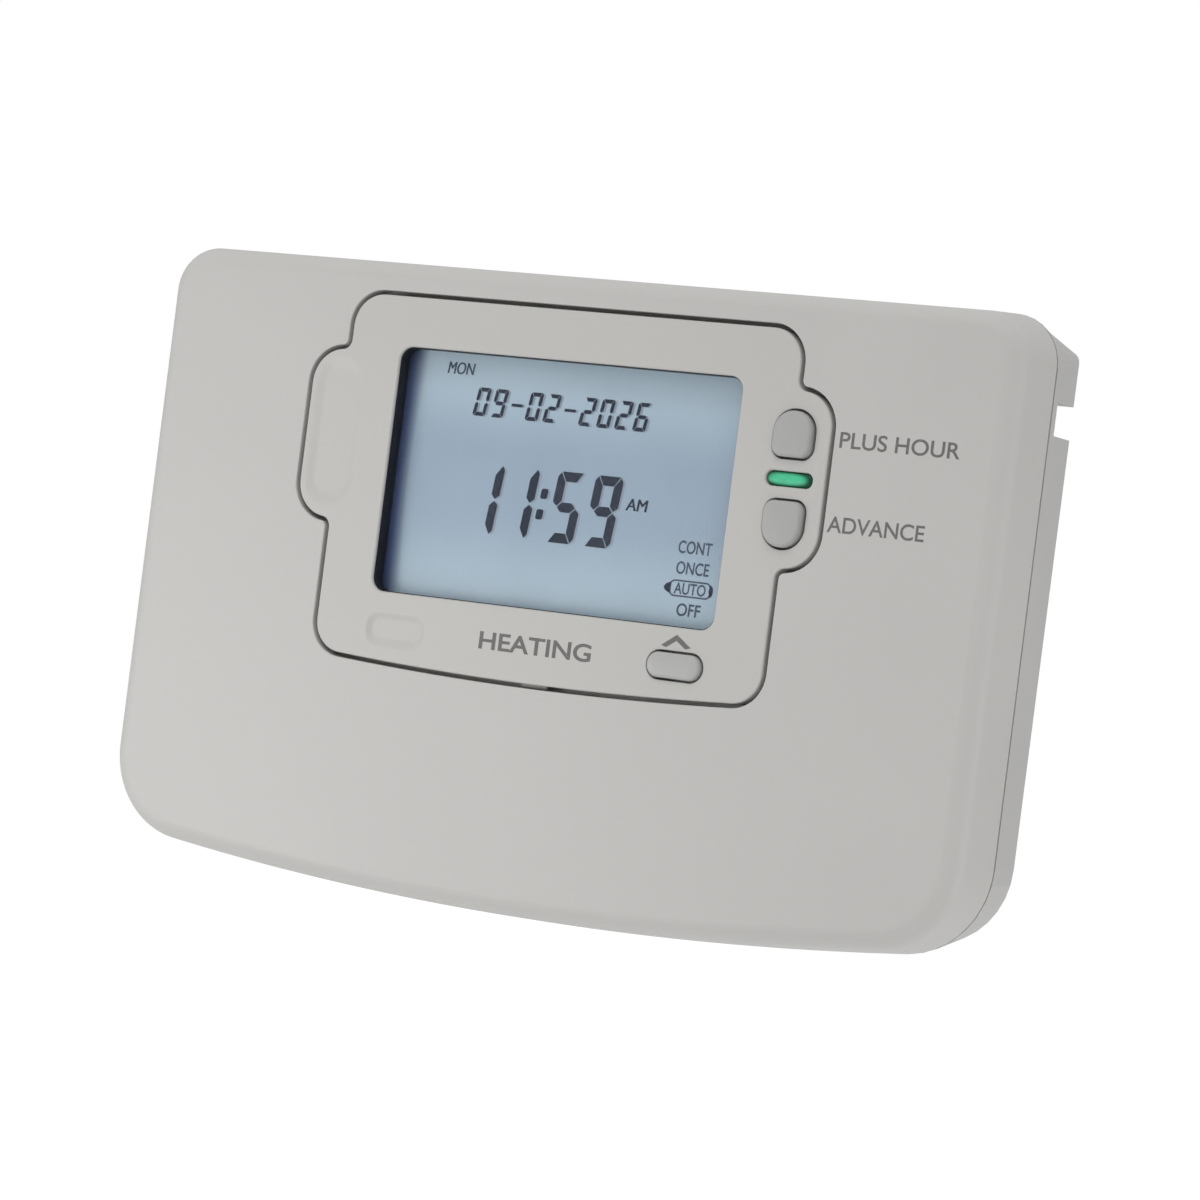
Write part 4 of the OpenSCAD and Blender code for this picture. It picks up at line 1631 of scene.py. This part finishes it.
@dataclass(frozen=True)
class StatusLens:
    """Light pipe of the status light, with a gently domed face."""

    centre: Point
    front_y: float
    back_y: float
    finish: Lamp

    def build(self) -> None:
        """Builds the lens."""
        lens = Moulding("status_lens_domed")
        dome = [
            (rounded(self.centre, (7.1 - 2 * i, 2.0 - 2 * i), 0.98 - i), self.front_y + d)
            for i, d in ((0.85, 0.0), (0.6, 0.03), (0.3, 0.12), (0.1, 0.26), (0.0, 0.45))
        ]
        foot = [
            (rounded(self.centre, size, corner), self.front_y + depth)
            for size, corner, depth in (
                ((7.1, 2.0), 0.98, 1.9),
                ((7.8, 3.0), 1.2, 1.9),
                ((7.8, 3.0), 1.2, 2.7),
                ((4.0, 1.8), 0.8, 2.7),
            )
        ]
        first, last = lens.loft(dome + foot + [(rounded(self.centre, (4.0, 1.8), 0.8), self.back_y)])
        lens.fill(first)
        lens.fill(last)
        lens.finish(self.finish, Body.UNIT, Slot.STATUS, ["status_lens"])


# ---------- Display ----------


@dataclass(frozen=True)
class DigitStyle:
    """Sizes of a row of seven-bar digits."""

    width: float
    height: float
    stroke: float
    gap: float
    lean: float

    BARS = {
        "0": "abcdef",
        "1": "bc",
        "2": "abged",
        "5": "afgcd",
        "6": "afedcg",
        "9": "abcdfg",
    }

    def bar(self, segment: Segment) -> Outline:
        """Outline of one bar in an upright cell whose corner is at zero.

        Args:
            segment: Which bar.

        Returns:
            Its outline.
        """
        w, h, s, g = self.width, self.height, self.stroke, self.gap
        mid, cut = h / 2, 0.32 * self.stroke
        top = [(cut + g, h), (w - cut - g, h), (w - s - 0.4 * g, h - s), (s + 0.4 * g, h - s)]
        upper = [
            (0.0, h - 0.55 * s),
            (cut, h - g),
            (s, h - s - g),
            (s, mid + s / 2 + g),
            (0.5 * s, mid + g),
            (0.0, mid + 0.5 * s),
        ]
        match segment:
            case Segment.TOP:
                return top
            case Segment.BOTTOM:
                return [(x, h - z) for x, z in top]
            case Segment.UPPER_LEFT:
                return upper
            case Segment.UPPER_RIGHT:
                return [(w - x, z) for x, z in upper]
            case Segment.LOWER_LEFT:
                return [(x, h - z) for x, z in upper]
            case Segment.LOWER_RIGHT:
                return [(w - x, h - z) for x, z in upper]
        return [
            (0.5 * s + g, mid),
            (s + g, mid + s / 2),
            (w - s - g, mid + s / 2),
            (w - 0.5 * s - g, mid),
            (w - s - g, mid - s / 2),
            (s + g, mid - s / 2),
        ]

    def digit(self, figure: str, left: float, base: float) -> list[Outline]:
        """Outlines of a digit.

        Args:
            figure: The digit.
            left: X of the cell's left side at its foot.
            base: Z of its foot.

        Returns:
            One outline per lit bar.
        """
        lit = [segment for segment in Segment if segment.value in self.BARS[figure]]
        return [[(left + x + self.lean * z, base + z) for x, z in self.bar(segment)] for segment in lit]


@dataclass(frozen=True)
class LcdFigures:
    """Everything that the display shows: date, time, half of the day and the mode list."""

    front_y: float
    clock: DigitStyle = DigitStyle(4.55, 9.95, 1.36, 0.13, 0.11)
    date: DigitStyle = DigitStyle(2.12, 4.0, 0.54, 0.07, 0.17)

    def _outlines(self) -> list[Outline]:
        """Outlines of all the bars, dots and dashes."""
        shapes: list[Outline] = []
        for figure, left in zip("1159", (-15.77, -9.97, -2.35, 3.75)):
            shapes += self.clock.digit(figure, left, 7.56)
        for x, z in ((-3.28, 14.13), (-3.70, 11.23)):
            dot = rounded((0.0, 0.0), (1.12, 1.42), 0.3, steps=4)
            shapes.append([(x + px + self.clock.lean * pz, z + pz) for px, pz in dot])
        for figure, left in zip("09022026", (-16.85, -13.92, -8.12, -5.17, 0.72, 3.67, 6.6, 9.55)):
            shapes += self.date.digit(figure, left, 24.05)
        for x in (-10.45, -1.68):
            shapes.append([(x, 26.2), (x + 1.85, 26.2), (x + 1.78, 25.8), (x - 0.07, 25.8)])
        return shapes

    def _layer(self, name: str, shapes: list[Outline], shift: Point, y: float, finish: Finish) -> None:
        """Thin layer of shapes.

        Args:
            name: Name of the piece.
            shapes: Outlines of the shapes.
            shift: Distance that they are moved in X and Z.
            y: Depth of the layer's back.
            finish: Its finish.
        """
        layer = Moulding(name)
        for shape in shapes:
            layer.slab([(x + shift[0], z + shift[1]) for x, z in shape], y - 0.012, y)
        layer.finish(finish, Body.UNIT, Slot.LCD)

    def build(self) -> None:
        """Builds the bars, the soft shade that they throw and the small words."""
        y = self.front_y
        shapes = self._outlines()
        self._layer("digit_shade", shapes, (0.36, -0.05), y - 0.004, Wear.BAR_SHADOW)
        self._layer("digit_bars", shapes, (0.0, 0.0), y - 0.03, Wear.BARS)
        self._frame(y)
        words = (
            ("word_day", "MON", (-21.8, 29.6), (4.3, 1.7), 0.12, Wear.BARS_THIN),
            ("word_half", "AM", (10.15, 13.1), (3.3, 1.65), 0.1, Wear.BARS),
            ("word_cont", "CONT", (19.3, 8.1), (5.3, 1.75), 0.03, Wear.BARS_THIN),
            ("word_once", "ONCE", (19.35, 5.25), (5.2, 1.75), 0.03, Wear.BARS_THIN),
            ("word_auto", "AUTO", (19.4, 2.5), (5.0, 1.6), 0.03, Wear.BARS_THIN),
            ("word_off", "OFF", (20.2, -0.45), (3.75, 1.75), 0.03, Wear.BARS_THIN),
        )
        for name, text, corner, size, lean, ink in words:
            lettering(name, text, corner, size, y - 0.03, ink, Body.UNIT, Slot.LCD, lean)

    def _frame(self, y: float) -> None:
        """Box with an arrowhead that marks the chosen mode.

        Args:
            y: Depth of the display's front.
        """
        frame_box = Moulding("mode_box")
        centre, size = (21.95, 3.3), (6.5, 2.3)
        outer = rounded(centre, size, 0.75, steps=6)
        inner = rounded(centre, (size[0] - 0.4, size[1] - 0.4), 0.55, steps=6)
        rings = [
            frame_box.ring(shape, depth)
            for shape, depth in (
                (outer, y - 0.045), (outer, y - 0.02), (inner, y - 0.02), (inner, y - 0.045)
            )
        ]
        for one, two in zip(rings, rings[1:] + rings[:1]):
            frame_box.strip(one, two)
        frame_box.finish(Wear.BARS_THIN, Body.UNIT, Slot.LCD)
        heads = Moulding("mode_pointers")
        left, right = centre[0] - size[0] / 2 + 0.1, centre[0] + size[0] / 2 - 0.05
        heads.slab(
            [(left, 4.1), (left - 0.75, 3.75), (left - 1.05, 3.3), (left - 0.75, 2.85), (left, 2.5)],
            y - 0.05,
            y - 0.03,
        )
        heads.slab(
            [
                (right, 4.2),
                (right + 0.35, 3.85),
                (right + 0.45, 3.3),
                (right + 0.35, 2.75),
                (right, 2.4),
                (right - 0.25, 3.3),
            ],
            y - 0.05,
            y - 0.03,
        )
        heads.finish(Wear.BARS, Body.UNIT, Slot.LCD)


# ---------- Carried-over CAD parts ----------


@dataclass(frozen=True)
class CadDressing:
    """CAD nodes that stay, each with a finish, with softened edges on all but the sharp ones."""

    softening: float = 0.14

    FINISHES = {
        "wall_plate": Wear.PLATE,
        "terminal_block": Wear.BLOCK,
        "terminal_clamps": Wear.BRASS,
        "terminal_screws": Wear.STEEL,
        "rear_housing": Wear.HOUSING,
        "hinge_pins": Wear.STEEL,
        "display_gasket": Wear.GASKET,
        "display_window": Wear.CLEAR,
        "lcd_holder": Wear.DIFFUSER,
        "backlight_panel": Wear.DIFFUSER,
        "elastomer_strips": Wear.RUBBER,
        "main_board": Wear.BOARD,
        "contact_blades": Wear.STEEL,
        "dome_switches": Wear.STEEL,
        "status_led": Wear.DIFFUSER,
        "relay": Wear.DARK,
        "film_capacitor": Wear.FILM,
        "electrolytic_capacitor": Wear.DARK,
        "varistor": Wear.LACQUER,
        "fuse": Wear.CERAMIC,
        "processor_chip": Wear.DARK,
        "crystal": Wear.STEEL,
        "battery_cell": Wear.STEEL,
        "battery_clip": Wear.STEEL,
        "slide_switch_case": Wear.DARK,
        "board_screws": Wear.STEEL,
        "case_screws": Wear.STEEL,
        "locking_screws": Wear.STEEL,
        "mode_slider": Wear.SLIDER,
    }
    SHARP = ("display_window", "lcd_glass", "display_gasket", "backlight_panel")

    def dress(self, node: str, finish: Finish) -> None:
        """Dresses one node.

        Args:
            node: Name of the CAD node.
            finish: Finish that it wears.
        """
        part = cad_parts[node]
        part.data.materials.clear()
        part.data.materials.append(finish.material())
        if node not in self.SHARP:
            part.modifiers.new("joined", "WELD").merge_threshold = 0.000002
            soft = part.modifiers.new("softened", "BEVEL")
            soft.width, soft.segments = self.softening * MM, 2
            soft.limit_method, soft.angle_limit = "ANGLE", math.radians(38)
            part.modifiers.new("even_shading", "WEIGHTED_NORMAL").keep_sharp = True
        LOG.info("%s: dressed in %s", node, finish.name)

    def build(self, panel: DisplayGlass) -> None:
        """Dresses all the nodes that stay.

        Args:
            panel: Finish of the liquid-crystal panel.
        """
        for node, finish in self.FINISHES.items():
            self.dress(node, finish)
        self.dress("lcd_glass", panel)


# ---------- Studio ----------


@dataclass(frozen=True)
class Softbox:
    """Square area light."""

    name: str
    place: tuple[float, float, float]
    target: tuple[float, float, float]
    size: Point
    watts: float
    tint: Colour = (1.0, 1.0, 1.0)

    def build(self) -> None:
        """Hangs the light."""
        light = bpy.data.lights.new(self.name, "AREA")
        light.shape = "RECTANGLE"
        light.size, light.size_y = self.size
        light.energy = self.watts
        light.color = self.tint
        lamp = bpy.data.objects.new(self.name, light)
        lamp.location = self.place
        aim = Vector(self.target) - Vector(self.place)
        lamp.rotation_euler = aim.to_track_quat("-Z", "Y").to_euler()
        bpy.context.scene.collection.objects.link(lamp)


@dataclass(frozen=True)
class Studio:
    """Pale floor, white room, soft lights and the camera."""

    floor_z: float = -0.30
    azimuth: float = 31.56
    elevation: float = -0.52
    roll: float = 7.19
    distance: float = 0.690
    lens: float = 149.25
    aim: tuple[float, float, float] = (0.00554, -0.013, 0.00045)
    room: float = 0.17
    room_front: float = 0.2
    room_top: float = 0.87

    def build(self) -> None:
        """Builds the whole studio."""
        bpy.context.scene.view_settings.view_transform = "Standard"
        self._floor()
        self._room()
        self._camera()
        for box in (
            Softbox("key_light", (-0.20, -0.24, -0.06), (-0.03, -0.02, -0.01), (0.12, 0.12), 0.225),
            Softbox("top_light", (0.12, -0.5, 0.75), (0.0, 0.0, 0.0), (0.2, 0.2), 0.9),
            Softbox("edge_light", (0.6, 0.04, -0.16), (0.06, -0.01, 0.0), (0.05, 0.3), 0.56),
        ):
            box.build()

    def _floor(self) -> None:
        """Plain flat floor well below the timer."""
        size, count = 4.0, 24
        mesh = bmesh.new()
        rows = []
        for i in range(count + 1):
            y = size * (i / count - 0.5) * 2
            rows.append(
                [
                    mesh.verts.new((size * (j / count - 0.5) * 2, y, self.floor_z))
                    for j in range(count + 1)
                ]
            )
        for one, two in zip(rows, rows[1:]):
            for j in range(count):
                mesh.faces.new((one[j], one[j + 1], two[j + 1], two[j]))
        data = bpy.data.meshes.new("floor")
        mesh.to_mesh(data)
        mesh.free()
        floor = bpy.data.objects.new("floor", data)
        bpy.context.scene.collection.objects.link(floor)
        data.materials.append(Wear.FLOOR.material())
        self._whiten(data.materials[0])

    def _whiten(self, material: bpy.types.Material) -> None:
        """Lifts the floor to the white of the room where it is seen.

        Args:
            material: The floor's material.
        """
        bench = Bench(material.node_tree)
        end = next(n for n in material.node_tree.nodes if n.type == "OUTPUT_MATERIAL")
        paint = next(n for n in material.node_tree.nodes if n.type == "BSDF_PRINCIPLED")
        light = bench.feed(bench.add("ShaderNodeEmission"), Color=(1.0, 1.0, 1.0, 1.0), Strength=1.25)
        both = bench.add("ShaderNodeMixShader")
        seen = bench.add("ShaderNodeLightPath").outputs["Is Camera Ray"]
        bench.tree.links.new(bench.math("MULTIPLY", seen, 0.65), both.inputs[0])
        bench.tree.links.new(paint.outputs[0], both.inputs[1])
        bench.tree.links.new(light.outputs[0], both.inputs[2])
        bench.tree.links.new(both.outputs[0], end.inputs["Surface"])

    def _room(self) -> None:
        """White surroundings: full white to the eye, softer as light."""
        world = bpy.data.worlds.new("white_room")
        bpy.context.scene.world = world
        world.use_nodes = True
        bench = Bench(world.node_tree)
        world.node_tree.nodes.clear()
        split = bench.add("ShaderNodeSeparateXYZ")
        bench.feed(split, Vector=bench.add("ShaderNodeTexCoord").outputs["Generated"])
        ahead = bench.math(
            "MULTIPLY", bench.math("MULTIPLY", split.outputs["Y"], -1.0, True), self.room_front
        )
        above = bench.math("MULTIPLY", bench.math("MAXIMUM", split.outputs["Z"], 0.0), self.room_top)
        level = bench.math("ADD", bench.math("ADD", ahead, above), self.room)
        seen = bench.feed(bench.add("ShaderNodeBackground"), Color=(1.0, 1.0, 1.0, 1.0), Strength=1.0)
        lit = bench.feed(bench.add("ShaderNodeBackground"), Color=(1.0, 1.0, 1.0, 1.0), Strength=level)
        both = bench.add("ShaderNodeMixShader")
        bench.tree.links.new(bench.add("ShaderNodeLightPath").outputs["Is Camera Ray"], both.inputs[0])
        bench.tree.links.new(lit.outputs[0], both.inputs[1])
        bench.tree.links.new(seen.outputs[0], both.inputs[2])
        bench.tree.links.new(both.outputs[0], bench.add("ShaderNodeOutputWorld").inputs["Surface"])

    def _camera(self) -> None:
        """Camera at the timer's right, level with it and rolled a little."""
        az, el, roll = (math.radians(a) for a in (self.azimuth, self.elevation, self.roll))
        back = Vector((math.sin(az) * math.cos(el), -math.cos(az) * math.cos(el), math.sin(el)))
        right = Vector((0.0, 0.0, 1.0)).cross(back).normalized()
        up = back.cross(right)
        across = right * math.cos(roll) + up * math.sin(roll)
        upright = up * math.cos(roll) - right * math.sin(roll)
        data = bpy.data.cameras.new("camera")
        data.lens, data.sensor_width, data.sensor_fit = self.lens, 36.0, "HORIZONTAL"
        data.clip_start, data.clip_end = 0.05, 20.0
        camera = bpy.data.objects.new("camera", data)
        turn = Matrix((across, upright, back)).transposed().to_4x4()
        camera.matrix_world = Matrix.Translation(Vector(self.aim) + back * self.distance) @ turn
        bpy.context.scene.collection.objects.link(camera)
        bpy.context.scene.camera = camera


def main() -> None:
    """Builds every sub-assembly in order, from the front to the wall."""
    logging.basicConfig(level=logging.INFO, format="%(message)s")
    flap_low, flap_high = low_high("front_flap")
    window_low, window_high = low_high("display_gasket")
    lens_low, lens_high = low_high("status_lens")
    lcd_low, _ = low_high("lcd_glass")
    pin_low, pin_high = low_high("hinge_pins")
    reset_low, reset_high = low_high("reset_key")
    knob_low, knob_high = low_high("slide_switch_case")
    case = CaseForm(flap_high.x - flap_low.x, flap_high.z - flap_low.z)
    island = IslandForm()
    hinge = ((pin_low.y + pin_high.y) / 2, (pin_low.z + pin_high.z) / 2)
    lamp = ((lens_low.x + lens_high.x) / 2, (lens_low.z + lens_high.z) / 2)
    window_centre = ((window_low.x + window_high.x) / 2, (window_low.z + window_high.z) / 2)
    window_size = (window_high.x - window_low.x, window_high.z - window_low.z)
    buttons, keys = front_buttons(), deck_keys()
    reset = ((reset_low.x + reset_high.x) / 2, (reset_low.z + reset_high.z) / 2)
    slider = ((knob_low.x + knob_high.x) / 2 + 0.3, (knob_low.z + knob_high.z) / 2)

    FrontFlap(case, island, flap_low.y, flap_high.y, hinge).build()
    DisplayIsland(island, flap_low.y, flap_low.y + 5.0, window_centre, window_size, buttons, lamp).build()
    KeypadDeck(case, island, flap_low.y + 3.5, hinge, keys, reset, slider).build()
    for button in (*buttons, *keys):
        button.build()
    ResetPin().build()
    StatusLens(lamp, lens_low.y, lens_high.y, Lamp("lamp_green", (0.06, 0.47, 0.25), centre=lamp)).build()
    LcdFigures(lcd_low.y).build()
    panel = DisplayGlass(
        "panel_blue",
        (0.455, 0.585, 0.68),
        low=(window_low.x, window_low.z),
        high=(window_high.x, window_high.z),
    )
    CadDressing().build(panel)
    Studio().build()


if __name__ == "__main__":
    main()
